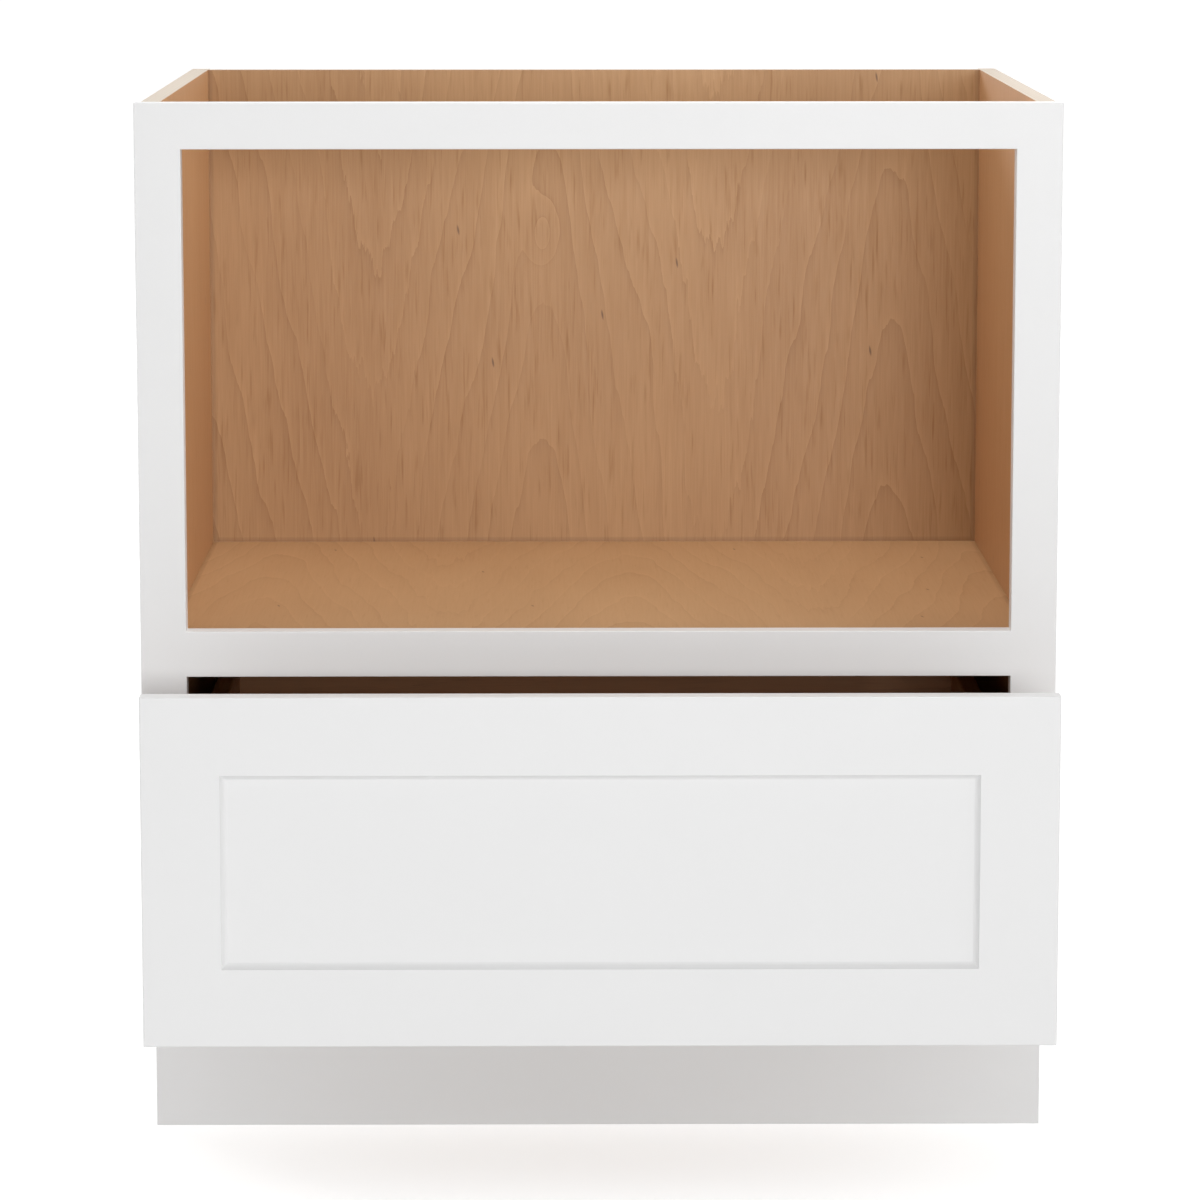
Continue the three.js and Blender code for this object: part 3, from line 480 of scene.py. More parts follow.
def maple_figure_group():
    """Rotary-cut maple. With x across the grain and z along it, the growth lines are where
    N = z / rise + swing (cos t + cos 3t / 9) + warp, with t = 2 pi x / leaf, is whole: they run
    nearly straight between the points at which they turn, and round a knot they close. Each
    darkens slowly, ends at once, and starts again a little paler."""
    tree, given, result = new_group(
        "maple_figure",
        {
            "Vector": "Vector",
            "Pale": "Color",
            "Deep": "Color",
            "Rise": "Float",
            "Swing": "Float",
            "Leaf": "Float",
            "Knot": "Vector",
            "Contrast": "Float",
            "Fibre": "Float",
            "Flecks": "Float",
        },
        {"Color": "Color", "Roughness": "Float", "Height": "Float"},
    )
    where = given["Vector"]
    x, _, z = shade(tree, "SeparateXYZ", where).outputs
    bend = calc(tree, "MULTIPLY_ADD", centred_noise(tree, where, bends, 3), bend_push, x)
    turn = calc(tree, "MULTIPLY", calc(tree, "DIVIDE", bend, given["Leaf"]), 2 * math.pi)
    wave = calc(tree, "COSINE", turn)
    third = calc(tree, "DIVIDE", calc(tree, "COSINE", calc(tree, "MULTIPLY", turn, 3)), 9)
    sway = calc(tree, "MULTIPLY", calc(tree, "ADD", wave, third), given["Swing"])
    climb = calc(tree, "DIVIDE", z, given["Rise"])

    # The lines are ragged, and most so in the troughs, where they part into feathers.
    trough = calc(tree, "POWER", calc(tree, "MAXIMUM", wave, 0), 3)
    feather = calc(tree, "MULTIPLY_ADD", trough, trough_push, feather_push)
    feather = calc(tree, "MULTIPLY", centred_noise(tree, where, feathers, 3), feather)
    jag = calc(tree, "MULTIPLY", centred_noise(tree, where, jags, 2), jag_push)
    wander = calc(tree, "MULTIPLY", centred_noise(tree, where, wanders, 2), wander_push)
    away = shade(tree, "VectorMath", where, given["Knot"], operation="SUBTRACT").outputs[0]
    away = shade(tree, "VectorMath", away, knot_falloff, operation="MULTIPLY").outputs[0]
    reach = shade(tree, "VectorMath", away, away, operation="DOT_PRODUCT").outputs["Value"]
    swirl = calc(tree, "EXPONENT", calc(tree, "MULTIPLY", reach, -1))
    swirl = calc(tree, "MULTIPLY", swirl, knot_push)
    number = calc(tree, "ADD", calc(tree, "ADD", sway, climb), calc(tree, "ADD", feather, wander))
    number = calc(tree, "ADD", number, calc(tree, "ADD", jag, swirl))

    share = calc(tree, "FRACT", number)
    growth = calc(tree, "FLOOR", number)
    luck = shade(tree, "TexWhiteNoise", noise_dimensions="1D", named={"W": growth}).outputs["Value"]
    fading = calc(
        tree, "MULTIPLY_ADD", centred_noise(tree, where, fades, 2), fade_swing, fade_shift
    )
    strength = calc(tree, "ADD", luck, fading, clamp=True)
    strength = calc(tree, "MULTIPLY_ADD", strength, line_rest, line_least)
    dark = calc(tree, "MULTIPLY", calc(tree, "POWER", share, 12), line_end_tone)
    ramp = calc(tree, "MULTIPLY", calc(tree, "POWER", share, 2), line_slope_tone)
    light = calc(tree, "POWER", calc(tree, "SUBTRACT", 1, share), 10)
    light = calc(tree, "MULTIPLY", light, line_start_tone)
    line = calc(tree, "ADD", calc(tree, "ADD", dark, ramp), light)
    line = calc(tree, "MULTIPLY", line, strength)

    # Over them lie hairs, fibres and short dark dashes, and the tone drifts from place to place.
    hair = centred_noise(tree, where, hairs, 2)
    fibre = calc(tree, "MULTIPLY", centred_noise(tree, where, fibres, 3), fibre_tone)
    dash = calc(tree, "SUBTRACT", centred_noise(tree, where, dashes, 1), dash_least)
    dash = calc(tree, "MULTIPLY", calc(tree, "MAXIMUM", dash, 0), dash_tone)
    streak = calc(tree, "ADD", calc(tree, "MULTIPLY", hair, hair_tone), fibre)
    streak = calc(tree, "MULTIPLY", calc(tree, "ADD", streak, dash), given["Fibre"])
    drift = calc(tree, "MULTIPLY", centred_noise(tree, where, drifts, 3), drift_tone)
    tone = calc(tree, "ADD", calc(tree, "ADD", line, streak), drift)
    tone = calc(tree, "MULTIPLY_ADD", tone, given["Contrast"], middle_tone, clamp=True)
    wood = blended(tree, tone, given["Deep"], given["Pale"])

    # A few dark flecks, each a slanting ellipse about a scattered point.
    flat = shade(tree, "CombineXYZ", x, z, 0).outputs[0]
    named = {"Vector": flat, "Scale": fleck_cells}
    cells = shade(tree, "TexVoronoi", voronoi_dimensions="2D", named=named).outputs
    away = shade(tree, "VectorMath", flat, cells["Position"], operation="SUBTRACT").outputs[0]
    across, along, _ = shade(tree, "SeparateXYZ", away).outputs
    across = calc(tree, "MULTIPLY_ADD", along, fleck_slant, across)
    across = calc(tree, "DIVIDE", calc(tree, "ABSOLUTE", across), fleck_half_width)
    along = calc(tree, "DIVIDE", calc(tree, "ABSOLUTE", along), fleck_half_length)
    reach = calc(tree, "ADD", calc(tree, "POWER", across, 2), calc(tree, "POWER", along, 2))
    mark = calc(tree, "SUBTRACT", 1, reach, clamp=True)
    picked = shade(tree, "SeparateColor", cells["Color"]).outputs[0]
    picked = calc(tree, "LESS_THAN", picked, given["Flecks"])
    mark = calc(tree, "MULTIPLY", calc(tree, "MULTIPLY", mark, picked), fleck_strength)

    rough = calc(tree, "MULTIPLY_ADD", streak, streak_rough, wood_rough)
    height = calc(tree, "ADD", hair, calc(tree, "MULTIPLY", mark, -1))
    tree.links.new(blended(tree, mark, wood, fleck_colour), result["Color"])
    tree.links.new(rough, result["Roughness"])
    tree.links.new(height, result["Height"])
    return tree


def ply_edge_group():
    """The cut edge of plywood: plies across the thickness, every other one end grain."""
    tree, given, result = new_group(
        "ply_edge", {"Vector": "Vector", "Depth": "Float"}, {"Color": "Color", "Height": "Float"}
    )
    ply = calc(tree, "DIVIDE", given["Depth"], ply_step)
    odd = calc(tree, "GREATER_THAN", calc(tree, "PINGPONG", ply, 1), 0.5)
    number = calc(tree, "FLOOR", calc(tree, "ADD", ply, 0.5))
    shift = shade(tree, "TexWhiteNoise", noise_dimensions="1D", named={"W": number}).outputs["Value"]
    speck = stretched_noise(tree, given["Vector"], ply_specks, 3)
    tone = calc(tree, "MULTIPLY_ADD", odd, end_grain_tone, calc(tree, "MULTIPLY", shift, ply_tone))
    tone = calc(tree, "MULTIPLY_ADD", speck, speck_tone, tone, clamp=True)
    tree.links.new(blended(tree, tone, ply_pale, ply_deep), result["Color"])
    tree.links.new(speck, result["Height"])
    return tree


maple_figure = maple_figure_group()
ply_edge = ply_edge_group()

maple_pale = srgb(188, 147, 101)
maple_deep = srgb(149, 107, 65)
half_leaf = 0.1615  # from a crest of the figure to the next trough
leaf_rise = 0.14  # metres along the grain from one growth line to the next
leaf_swing = 2.5
edge_rough = 0.25  # how much rougher a cut edge is than a face
wood_bump = 0.15
# Painted shade: a darker band of wood this wide along inner corners where boards meet, standing in for
# the shade that falls there.
painted_shade_width = 0.0045
painted_shade_share = 0.4
painted_shade_colour = srgb(120, 82, 50)

# How an object's own axes are turned so that local z runs with the grain and x across it.
quarter_turn = math.pi / 2
upright = (0, 0, 0)
side_upright = (0, 0, quarter_turn)
front_to_back = (quarter_turn, 0, 0)
side_front_to_back = (quarter_turn, 0, quarter_turn)
side_to_side = (0, quarter_turn, 0)
nowhere = (9, 9, 9)  # too far away for a knot to be felt


def near_planes(tree, where, planes, width):
    """1 on the nearest of some planes, each an (axis, place) pair, falling to 0 at ``width``."""
    coordinates = shade(tree, "SeparateXYZ", where).outputs
    nearest = width
    for axis, place in planes:
        away = calc(tree, "ABSOLUTE", calc(tree, "SUBTRACT", coordinates[axis], place))
        nearest = calc(tree, "MINIMUM", away, nearest)
    return calc(tree, "SUBTRACT", 1, calc(tree, "DIVIDE", nearest, width))


def laid(tree, where, slide, grain):
    """Places on an object turned to the grain and slid, as the figure's own coordinates."""
    named = {"Vector": where, "Location": slide, "Rotation": grain}
    return shade(tree, "Mapping", named=named).outputs[0]


def plywood_material(
    name,
    axis,
    grain,
    slide,
    tones=(maple_pale, maple_deep),
    contrast=1.0,
    fibre=1.0,
    flecks=0.5,
    knot=nowhere,
    painted_face=0,
    inner_face=1,
    corners=(),
):
    """Veneered plywood whose thickness lies along an object axis (0, 1 or 2). Its faces are
    maple, or white paint on the face that looks along ``painted_face`` times that axis, and
    its edges show the plies. The figure is turned to the ``grain`` and slid by ``slide``. On
    the face that looks along ``inner_face`` times the axis, painted shade darkens the wood in
    ``corners``, where other boards meet it and shade would fall."""
    material = bpy.data.materials.new(name)
    tree = blank_tree(material)
    space = shade(tree, "TexCoord").outputs
    veneer = place_group(
        tree,
        maple_figure,
        Vector=laid(tree, space["Object"], slide, grain),
        Pale=tones[0],
        Deep=tones[1],
        Rise=leaf_rise,
        Swing=leaf_swing,
        Leaf=half_leaf * 2,
        Knot=knot,
        Contrast=contrast,
        Fibre=fibre,
        Flecks=flecks,
    )
    depth = shade(tree, "SeparateXYZ", space["Object"]).outputs[axis]
    facing = shade(tree, "SeparateXYZ", space["Normal"]).outputs[axis]
    edge = place_group(tree, ply_edge, Vector=space["Object"], Depth=depth)
    on_edge = calc(tree, "LESS_THAN", calc(tree, "ABSOLUTE", facing), 0.5)
    wood = veneer["Color"]
    # Painted shade: the wood darkens towards the inner corners where other boards meet it, as shade
    # would fall there.
    if corners:
        painted_shade = near_planes(tree, space["Object"], corners, painted_shade_width)
        inside = calc(tree, "GREATER_THAN", calc(tree, "MULTIPLY", facing, inner_face), 0.5)
        painted_shade = calc(tree, "MULTIPLY", calc(tree, "POWER", painted_shade, 0.5), inside)
        painted_shade = calc(tree, "MULTIPLY", painted_shade, painted_shade_share)
        wood = blended(tree, painted_shade, wood, painted_shade_colour)
    wood = blended(tree, on_edge, wood, edge["Color"])
    rough = calc(tree, "MULTIPLY_ADD", on_edge, edge_rough, veneer["Roughness"])
    height = blended(tree, on_edge, veneer["Height"], edge["Height"], "FLOAT")
    if painted_face:
        painted = calc(tree, "GREATER_THAN", calc(tree, "MULTIPLY", facing, painted_face), 0.5)
        wood = blended(tree, painted, wood, (paint_white, paint_white, paint_white, 1))
        skin = place_group(tree, orange_peel, Vector=space["Object"])
        height = blended(tree, painted, height, skin["Height"], "FLOAT")
    surfaced(
        tree,
        {
            "Base Color": wood,
            "Roughness": rough,
            "Specular IOR Level": satin,
            "Normal": bumped(tree, height, wood_bump, skin_depth),
        },
    )
    return material


def dress(material, *nodes):
    """Gives carried-over nodes, whose shape is already right, their finish."""
    for node in nodes:
        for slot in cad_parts[node].material_slots:
            slot.material = material


side_tones = (srgb(202, 157, 113), srgb(168, 119, 77))

for hand, outwards, slide in (("left", -1, (0.3, 0.1, 0.35)), ("right", 1, (1.7, 0.3, 0.9))):
    side_ply = plywood_material(
        f"{hand}_side_ply",
        0,
        side_upright,
        slide,
        tones=side_tones,
        contrast=0.5,
        fibre=0.7,
        flecks=0.2,
        painted_face=outwards,
    )
    dress(side_ply, f"{hand}_side_panel")


# ------------------------------------------------------------------ Shelf, bottom and back
# Clear-coated maple plywood let into the sides. The figure stands upright on the back and
# runs from front to back on the shelf that the oven stands on and on the bottom.

leaf_middle = -0.048  # where on the back the crest between its two troughs stands
knot_height = 0.722
back_slide = 0.86  # how far the figure is slid along the grain before the back is cut from it
shelf_tones = (srgb(199, 159, 116), srgb(159, 117, 77))
side_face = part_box("right_side_panel")[0].x
shelf_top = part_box("microwave_shelf")[1].z

back_ply = plywood_material(
    "back_ply",
    1,
    upright,
    (half_leaf - leaf_middle, 0, back_slide),
    flecks=0.95,
    knot=(half_leaf, 0, knot_height + back_slide),
    inner_face=-1,
    # the corners that get painted shade: where the sides and the shelf meet the back
    corners=((0, -side_face), (0, side_face), (2, shelf_top)),
)
dress(back_ply, "back_panel")
shelf_ply = plywood_material(
    "shelf_ply",
    2,
    front_to_back,
    (0.13, 0.4, 2.2),
    tones=shelf_tones,
    contrast=0.9,
    fibre=0.35,
    # the corners that get painted shade: where the sides meet the shelf
    corners=((0, -side_face), (0, side_face)),
)
dress(shelf_ply, "microwave_shelf")
dress(plywood_material("bottom_ply", 2, front_to_back, (0.9, 1.4, 3.1)), "bottom_panel")


# ------------------------------------------------------------------ Hanging rails and toe board
# Unfinished plywood strips behind the back panel, which the wall screws pass through, and the
# structural board behind the toe kick. Nobody sees them once the cabinet stands in its place.

raw_pale = srgb(208, 182, 145)
raw_deep = srgb(180, 148, 110)
raw_rise = 0.4
raw_swing = 2.2
raw_leaf = 0.21
raw_contrast = 1.2
raw_flecks = 0.3
raw_rough = 0.25  # how much rougher than coated wood
raw_gloss = 0.25
raw_bump = 0.3
raw_depth = 0.0003


def raw_wood_material(name, grain, slide):
    """Unfinished wood: the same figure, paler, rougher and without a coat."""
    material = bpy.data.materials.new(name)
    tree = blank_tree(material)
    figure = place_group(
        tree,
        maple_figure,
        Vector=laid(tree, shade(tree, "TexCoord").outputs["Object"], slide, grain),
        Pale=raw_pale,
        Deep=raw_deep,
        Rise=raw_rise,
        Swing=raw_swing,
        Leaf=raw_leaf,
        Knot=nowhere,
        Contrast=raw_contrast,
        Fibre=1.0,
        Flecks=raw_flecks,
    )
    surfaced(
        tree,
        {
            "Base Color": figure["Color"],
            "Roughness": calc(tree, "ADD", figure["Roughness"], raw_rough),
            "Specular IOR Level": raw_gloss,
            "Normal": bumped(tree, figure["Height"], raw_bump, raw_depth),
        },
    )
    return material


dress(
    raw_wood_material("raw_strip", side_to_side, (0.2, 0.5, 0.1)),
    "upper_hanging_rail",
    "lower_hanging_rail",
    "toe_kick_board",
)


# ------------------------------------------------------------------ Toe kick skin
# A thin painted strip, nailed over the toe board and the front edges of both sides. Its front
# arrises are eased.

toe_low, toe_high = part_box("toe_kick_skin")
toe_ease = 0.0006


def toe_edge_distance(x, z):
    """From a point of the strip to the nearest of its ends, its top and its foot."""
    return np.minimum.reduce([toe_high.x - np.abs(x), z - toe_low.z, toe_high.z - z])


toe_depths = round_depths(toe_ease, ease_steps)
toe_skin = slab(
    "toe_kick",
    eased_lines(toe_low.x, toe_high.x, [toe_low.x, toe_high.x], toe_depths),
    eased_lines(toe_low.z, toe_high.z, [toe_low.z, toe_high.z], toe_depths),
    lambda x, z: toe_low.y + quarter_round(toe_edge_distance(x, z), toe_ease),
    lambda x, z: np.full_like(x, toe_high.y),
)
even_normals(finished("toe_kick", toe_skin, white_paint, "cabinet", "toe_kick_skin"))


# ------------------------------------------------------------------ Corner blocks
# Two triangular blocks of plain wood with blunted tips, glued and screwed into the corners
# behind the top rail, where the worktop is fixed down through them.

block_ease = 0.0008
merge_distance = 1e-6
flat_limit = math.radians(0.5)  # faces that meet at less than this are one flat
arris_limit = math.radians(35)  # and those that meet at more than this have an arris
askew = (0, quarter_turn, quarter_turn / 2)  # side to side, with its rings at a slant


def eased_piece(name, node, material, body, width, segments=2, chosen=lambda edge: True):
    """A finished piece made of a node's own solid, its doubles merged and its flats joined.
    Its outer arrises, or the chosen ones among them, are rounded to ``width``."""
    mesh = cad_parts[node].data.copy()
    mesh.name = name
    solid = bmesh.new()
    solid.from_mesh(mesh)
    bmesh.ops.remove_doubles(solid, verts=solid.verts, dist=merge_distance)
    bmesh.ops.dissolve_limit(solid, angle_limit=flat_limit, verts=solid.verts, edges=solid.edges)
    weight = solid.edges.layers.float.new("bevel_weight_edge")
    for edge in solid.edges:
        sharp = len(edge.link_faces) == 2 and edge.calc_face_angle() > arris_limit
        edge[weight] = float(sharp and edge.is_convex and chosen(edge))
    solid.to_mesh(mesh)
    solid.free()
    piece = finished(name, mesh, material, body, node)
    modifier = piece.modifiers.new("eased_edges", "BEVEL")
    modifier.limit_method = "WEIGHT"
    modifier.width = width
    modifier.segments = segments
    even_normals(piece)


block_wood = raw_wood_material("corner_block_wood", askew, (0.4, 0.2, 0.3))
for hand in ("left", "right"):
    eased_piece(
        f"corner_block_{hand}",
        f"{hand}_corner_block",
        block_wood,
        "cabinet",
        block_ease,
    )


# ------------------------------------------------------------------ Screws
# Zinc-plated pan-head screws with a cross recess, turned and thread-rolled from wire. Each
# stands exactly where its solid stands, its head bearing on the piece that it holds.

shank_radius = 0.0019
thread_pitch = 0.0016
thread_depth = 0.00035
least_turns = 2
rows_per_turn = 4
point_length = 2  # shank radii
round_sides = 24

pan_height = 0.0022
low_height = 0.0015  # of the low heads that clear the runners' other members
head_rings = 14
head_foot = 0.98  # the underside's radius, as a share of the head's
head_rim = 0.45  # the height at which its dome starts, as a share of its whole height
crown_start = 2 / 3  # how far round its dome it turns flat
recess_arm = 0.55  # of the head's radius
recess_half = 0.00045
recess_floor = 0.4  # of the head's height

zinc_cold = (0.56, 0.58, 0.61, 1)
zinc_warm = (0.68, 0.68, 0.66, 1)
zinc_lines = (700, 18, 700)  # features a metre along each axis
zinc_clouds = (45, 20, 45)
zinc_rough = 0.26
zinc_rough_spread = 0.16
zinc_bump = 0.1
hard_depth = 0.0001


def zinc_material():
    """Bright zinc plate: a cold grey metal with a faint drawn grain and uneven gloss."""
    material = bpy.data.materials.new("zinc_plate")
    tree = blank_tree(material)
    where = shade(tree, "TexCoord").outputs["Object"]
    drawn = stretched_noise(tree, where, zinc_lines, 3)
    cloud = stretched_noise(tree, where, zinc_clouds, 3)
    surfaced(
        tree,
        {
            "Base Color": blended(tree, cloud, zinc_cold, zinc_warm),
            "Metallic": 1.0,
            "Roughness": calc(tree, "MULTIPLY_ADD", drawn, zinc_rough_spread, zinc_rough),
            "Normal": bumped(tree, drawn, zinc_bump, hard_depth),
        },
    )
    return material


zinc_plate = zinc_material()
round_angles = np.linspace(0, 2 * math.pi, round_sides, endpoint=False)


def turned(name, radius, height):
    """A closed surface round z, whose rows of points (r cos a, r sin a, h) run round at the
    angles a. A column of radii and heights is the same all round. The poles are merged."""
    radius, height, angles = np.broadcast_arrays(radius, height, round_angles)
    points = np.stack([radius * np.cos(angles), radius * np.sin(angles), height], -1)
    rows, columns = radius.shape
    index = np.arange(rows * columns).reshape(rows, columns)
    beside = np.roll(index, -1, axis=1)
    faces = np.stack([index[:-1], beside[:-1], beside[1:], index[1:]], -1).reshape(-1, 4)
    mesh = bpy.data.meshes.new(name)
    mesh.from_pydata(points.reshape(-1, 3).tolist(), [], faces.tolist())
    solid = bmesh.new()
    solid.from_mesh(mesh)
    bmesh.ops.remove_doubles(solid, verts=solid.verts, dist=merge_distance)
    bmesh.ops.recalc_face_normals(solid, faces=solid.faces)
    solid.to_mesh(mesh)
    solid.free()
    return mesh


def screw_surface(name, length, head_radius, head_height):
    """A screw along z with its head's underside at 0 and its point at -length. The shank's
    radius is core + depth (1 + cos(2 pi z / pitch - a)) / 2, tapered at the point. The head is
    a dome of radius R cos t and height H (rim + (1 - rim) sin(t / start)), with t from 0 to a
    right angle, flat past the crown's start, and a cross is sunk into it."""
    turns = max(length / thread_pitch, least_turns)
    shank = np.linspace(-length, 0, int(turns * rows_per_turn))
    taper = np.clip((shank + length) / (point_length * shank_radius), 0, 1)
    core = (shank_radius - thread_depth) * taper
    dome = np.linspace(0, 1, head_rings)
    climb = np.sin(np.clip(dome / crown_start, 0, 1) * math.pi / 2)
    dome_radius = head_radius * np.cos(dome * math.pi / 2)
    dome_height = head_height * (head_rim + (1 - head_rim) * climb)
    radius = np.concatenate([[0], core, [head_radius * head_foot], dome_radius, [0]])[:, None]
    height = np.concatenate([[-length], shank, [0], dome_height, [head_height]])[:, None]

    wave = (1 + np.cos(2 * math.pi * height / thread_pitch - round_angles)) / 2
    ridge = thread_depth * wave * np.minimum(radius / shank_radius, 1)
    radius = radius + np.where((height < 0) & (radius > 0), ridge, 0)
    x, y = radius * np.cos(round_angles), radius * np.sin(round_angles)
    near_arm = np.minimum(np.abs(x), np.abs(y)) < recess_half
    in_cross = near_arm & (np.hypot(x, y) < head_radius * recess_arm)
    sunk = in_cross & (height > head_height * head_rim)
    return turned(name, radius, np.where(sunk, head_height * recess_floor, height))


def mesh_points(mesh):
    """The points of a mesh, one to a row."""
    points = np.empty(len(mesh.vertices) * 3)
    mesh.vertices.foreach_get("co", points)
    return points.reshape(-1, 3)


def add_screw(name, node, body, point, head_height=pan_height):
    """A screw in its solid's place, pointing along one axis: ("x", 1), ("y", -1) and so on."""
    axis_name, sign = point
    axis = "xyz".index(axis_name)
    low, high = (np.array(corner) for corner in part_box(node))
    head_radius = (high - low)[(axis + 1) % 3] / 2
    length = (high - low)[axis] - head_height
    mesh = screw_surface(name, length, head_radius, head_height)
    points = mesh_points(mesh)
    placed = np.empty_like(points)
    placed[:, axis] = -sign * points[:, 2]
    placed[:, (axis + 1) % 3] = -sign * points[:, 0]
    placed[:, (axis + 2) % 3] = points[:, 1]
    bearing = (low + high) / 2
    bearing[axis] = high[axis] - length if sign > 0 else low[axis] + length
    mesh.vertices.foreach_set("co", (placed + bearing).ravel())
    mesh.update()
    finished(name, mesh, zinc_plate, body, node)


for hand, outwards in (("left", -1), ("right", 1)):
    add_screw(
        f"{hand}_block_screw_front", f"{hand}_corner_block_frame_screw", "cabinet", ("y", -1)
    )
    add_screw(
        f"{hand}_block_screw_side", f"{hand}_corner_block_side_screw", "cabinet", ("x", outwards)
    )
    add_screw(
        f"{hand}_runner_screw",
        f"{hand}_runner_front_screw",
        "cabinet",
        ("x", outwards),
        low_height,
    )
    for level in ("lower", "upper"):
        add_screw(
            f"{hand}_bracket_screw_{level}", f"{hand}_rear_bracket_{level}_screw", "cabinet", ("y", 1)
        )
        add_screw(
            f"{hand}_front_screw_{level}", f"drawer_front_{hand}_{level}_screw", "drawer", ("y", -1)
        )
    add_screw(f"{hand}_clip_screw", f"{hand}_locking_clip_screw", "drawer", ("y", -1))


# ------------------------------------------------------------------ Undermount runners
# Three rolled steel members a side, zinc plated: one screwed to the cabinet, one under the
# drawer and one between them. Moulded brackets hold their rear ends to the back panel, and
# moulded clips lock the drawer to them.

bend_ease = 0.0004
moulding_ease = 0.0005
plastic_grey = 0.245
plastic_mottle = 0.03
plastic_blue = 0.01  # how much more blue than the rest
plastic_grain = (1600, 1600, 1600)
plastic_rough = 0.45
plastic_rough_spread = 0.15
plastic_bump = 0.2


def grey_plastic_material():
    """Grey moulded plastic with the fine texture of its mould."""
    material = bpy.data.materials.new("grey_plastic")
    tree = blank_tree(material)
    where = shade(tree, "TexCoord").outputs["Object"]
    skin = place_group(tree, orange_peel, Vector=where)
    grain = stretched_noise(tree, where, plastic_grain, 1)
    tone = calc(tree, "MULTIPLY_ADD", skin["Mottle"], plastic_mottle, plastic_grey)
    blue = calc(tree, "ADD", tone, plastic_blue)
    surfaced(
        tree,
        {
            "Base Color": shade(tree, "CombineColor", tone, tone, blue).outputs[0],
            "Roughness": calc(tree, "MULTIPLY_ADD", grain, plastic_rough_spread, plastic_rough),
            "Normal": bumped(tree, grain, plastic_bump, hard_depth),
        },
    )
    return material


grey_plastic = grey_plastic_material()
for hand in ("left", "right"):
    for part, body in (
        ("cabinet_rail", "cabinet"),
        ("middle_rail", f"{hand}_middle_runner"),
        ("drawer_rail", "drawer"),
    ):
        node = f"{hand}_runner_{part}"
        eased_piece(f"{hand}_{part}", node, zinc_plate, body, bend_ease)
    for part, body, node in (
        ("rear_socket", "cabinet", f"{hand}_runner_rear_bracket"),
        ("clip", "drawer", f"{hand}_locking_clip"),
    ):
        eased_piece(f"{hand}_{part}", node, grey_plastic, body, moulding_ease)


# ------------------------------------------------------------------ Drawer box
# Solid maple boards 15.9 mm thick, joined with through dovetails and clear coated, their top
# edges rounded over. The plywood bottom floats in a groove.

top_round = 0.0022
round_steps = 4
board_pale = srgb(188, 140, 97)
board_deep = srgb(150, 102, 64)
board_rise = 0.5
board_swing = 2.6
board_leaf = 0.19
board_contrast = 0.9
board_fibre = 0.8
board_flecks = 0.15
end_colour = srgb(150, 104, 66)
end_share = 0.8
end_facing = 0.7  # how squarely a face looks along the grain that counts as end grain
end_specks = (900, 900, 900)  # a metre along each axis


def solid_maple_material(name, grain_axis, grain, slide):
    """Solid maple whose grain runs along an object axis, darker and speckled on end grain."""
    material = bpy.data.materials.new(name)
    tree = blank_tree(material)
    space = shade(tree, "TexCoord").outputs
    figure = place_group(
        tree,
        maple_figure,
        Vector=laid(tree, space["Object"], slide, grain),
        Pale=board_pale,
        Deep=board_deep,
        Rise=board_rise,
        Swing=board_swing,
        Leaf=board_leaf,
        Knot=nowhere,
        Contrast=board_contrast,
        Fibre=board_fibre,
        Flecks=board_flecks,
    )
    facing = shade(tree, "SeparateXYZ", space["Normal"]).outputs[grain_axis]
    on_end = calc(tree, "GREATER_THAN", calc(tree, "ABSOLUTE", facing), end_facing)
    speck = stretched_noise(tree, space["Object"], end_specks, 2)
    speck = calc(tree, "MULTIPLY", calc(tree, "MULTIPLY", speck, on_end), end_share)
    surfaced(
        tree,
        {
            "Base Color": blended(tree, speck, figure["Color"], end_colour),
            "Roughness": figure["Roughness"],
            "Specular IOR Level": satin,
            "Normal": bumped(tree, figure["Height"], wood_bump, skin_depth),
        },
    )
    return material


box_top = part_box("drawer_box_left_side")[1].z
same_height = 1e-4


def along_the_top(edge):
    """True for the arrises of a box board's top edge."""
    return all(abs(corner.co.z - box_top) < same_height for corner in edge.verts)


for part, axis, grain, slide in (
    ("left_side", 1, side_front_to_back, (0.4, 0.7, 0.2)),
    ("right_side", 1, side_front_to_back, (1.1, 0.2, 0.8)),
    ("front", 0, side_to_side, (0.2, 0.6, 1.3)),
    ("back", 0, side_to_side, (0.8, 1.2, 0.5)),
):
    eased_piece(
        f"box_{part}",
        f"drawer_box_{part}",
        solid_maple_material(f"maple_{part}", axis, grain, slide),
        "drawer",
        top_round,
        round_steps,
        along_the_top,
    )

dress(plywood_material("drawer_bottom_ply", 2, front_to_back, (0.5, 0.9, 1.9)), "drawer_box_bottom")


# ------------------------------------------------------------------ Drawer front
# A painted five-piece front: stiles and rails round a flat centre panel, all sprayed as one
# surface. A small cove runs round the inside of the frame down to the panel.

front_ease = 0.0012
rear_ease = front_ease / 2
cove_width = 0.0045
cove_depth = 0.00585
cove_curve = 1.7
cove_steps = 10

front_low, front_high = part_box("drawer_front_right_stile")
top_rail_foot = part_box("drawer_front_top_rail")[0].z
bottom_rail_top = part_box("drawer_front_bottom_rail")[1].z
front_half = front_high.x
front_inner = front_low.x
front_heights = (front_low.z, front_high.z)
recess_half_width = front_inner + cove_width
recess_heights = (bottom_rail_top - cove_width, top_rail_foot + cove_width)


def front_edge_distance(x, z):
    """From a point of the drawer front to the nearest of its outer edges."""
    return np.minimum.reduce([front_half - np.abs(x), z - front_heights[0], front_heights[1] - z])


def cove(distance):
    """How deep the cove is at a distance d in from the arris of the recess: with a width W and
    a curve n it is D (1 - (1 - d / W)^n), steep at the arris and flat at the panel."""
    share = np.clip(distance / cove_width, 0, 1)
    return cove_depth * (1 - (1 - share) ** cove_curve)


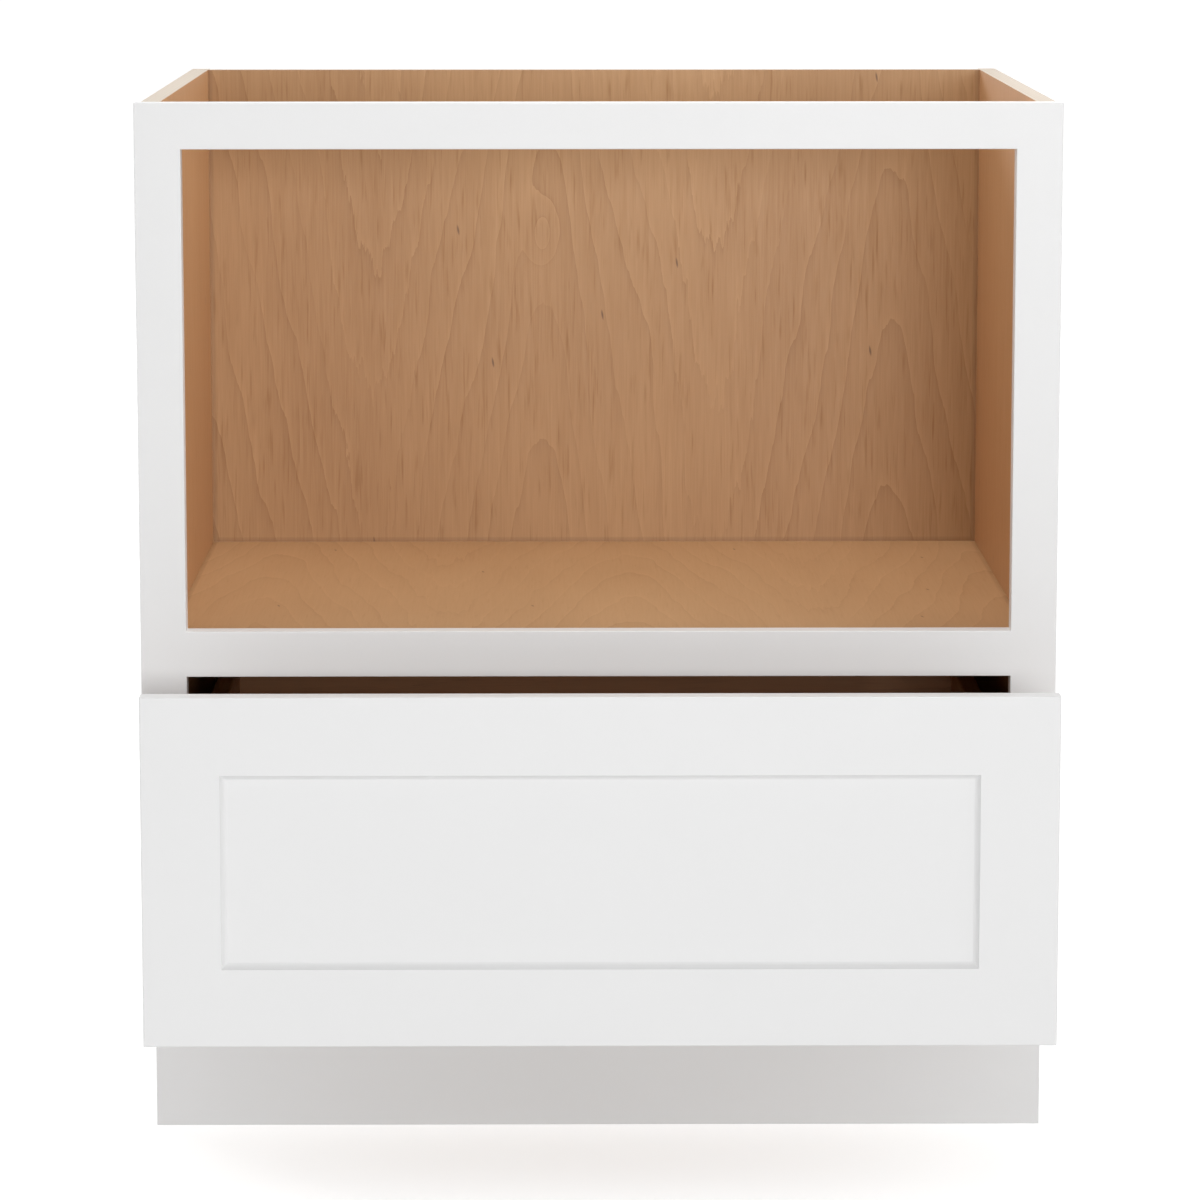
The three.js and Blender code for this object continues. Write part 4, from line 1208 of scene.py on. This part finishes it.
def front_surface(x, z):
    """The face, eased at its outer edges, with the cove sunk into it round the recess."""
    into_recess = np.minimum.reduce(
        [recess_half_width - np.abs(x), z - recess_heights[0], recess_heights[1] - z]
    )
    eased = quarter_round(front_edge_distance(x, z), front_ease)
    return front_low.y + eased + cove(into_recess)


def rear_surface(x, z):
    """The back, with smaller rounds at its outer edges."""
    return front_high.y - quarter_round(front_edge_distance(x, z), rear_ease)


def front_lines(span, edges, arrises):
    """The grid lines of a member along one axis, for the eased edges and for the cove."""
    at_edges = eased_lines(*span, edges, round_depths(front_ease, ease_steps))
    at_cove = eased_lines(*span, arrises, round_depths(cove_width, cove_steps))
    return np.union1d(at_edges, at_cove)


def front_member(name, node, x_span, z_span):
    """One member, cut out of the front's common faces."""
    x_edges, x_arrises = (-front_half, front_half), (-recess_half_width, recess_half_width)
    mesh = slab(
        name,
        front_lines(x_span, x_edges, x_arrises),
        front_lines(z_span, front_heights, recess_heights),
        front_surface,
        rear_surface,
    )
    even_normals(finished(name, mesh, white_paint, "drawer", node))


front_member("front_stile_left", "drawer_front_left_stile", (-front_half, -front_inner), front_heights)
front_member("front_stile_right", "drawer_front_right_stile", (front_inner, front_half), front_heights)
front_member(
    "front_rail_top",
    "drawer_front_top_rail",
    (-front_inner, front_inner),
    (top_rail_foot, front_heights[1]),
)
front_member(
    "front_rail_bottom",
    "drawer_front_bottom_rail",
    (-front_inner, front_inner),
    (front_heights[0], bottom_rail_top),
)
dress(white_paint, "drawer_front_centre_panel")


# ------------------------------------------------------------------ Bumpers
# Soft clear urethane domes stuck to the corners of the drawer front's back, which meet the
# face frame when the drawer is shut.

urethane_white = 0.66
urethane_mottle = 0.05
urethane_rough = 0.3
urethane_rough_spread = 0.1
urethane_glow = 0.3  # the share of light that goes in and comes out beside
urethane_reach = 0.001
urethane_bump = 0.08
bumper_rings = 9
bumper_bulge = 0.6


def soft_urethane_material():
    """Milky soft plastic that lets a little light into itself."""
    material = bpy.data.materials.new("soft_urethane")
    tree = blank_tree(material)
    where = shade(tree, "TexCoord").outputs["Object"]
    skin = place_group(tree, orange_peel, Vector=where)
    tone = calc(tree, "MULTIPLY_ADD", skin["Mottle"], urethane_mottle, urethane_white)
    rough = calc(tree, "MULTIPLY_ADD", skin["Mottle"], urethane_rough_spread, urethane_rough)
    surfaced(
        tree,
        {
            "Base Color": shade(tree, "CombineColor", tone, tone, tone).outputs[0],
            "Roughness": rough,
            "Subsurface Weight": urethane_glow,
            "Subsurface Scale": urethane_reach,
            "Normal": bumped(tree, skin["Height"], urethane_bump, hard_depth),
        },
    )
    return material


soft_urethane = soft_urethane_material()


def dome_surface(name, low, high):
    """A dome along y on a flat foot, with a bulge n: its radius is R (cos t)^n and its height
    H sin t, with t from 0 to a right angle."""
    t = np.linspace(0, math.pi / 2, bumper_rings)
    foot_radius = (high.x - low.x) / 2
    radius = np.concatenate([[0], foot_radius * np.cos(t) ** bumper_bulge])[:, None]
    height = np.concatenate([[0], (high.y - low.y) * np.sin(t)])[:, None]
    mesh = turned(name, radius, height)
    foot = np.array([(low.x + high.x) / 2, low.y, (low.z + high.z) / 2])
    placed = mesh_points(mesh)[:, [0, 2, 1]] * (-1, 1, 1) + foot
    mesh.vertices.foreach_set("co", placed.ravel())
    mesh.update()
    return mesh


for hand in ("left", "right"):
    for level in ("lower", "upper"):
        node = f"{hand}_{level}_bumper"
        mesh = dome_surface(f"bumper_{hand}_{level}", *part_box(node))
        finished(f"bumper_{hand}_{level}", mesh, soft_urethane, "drawer", node)
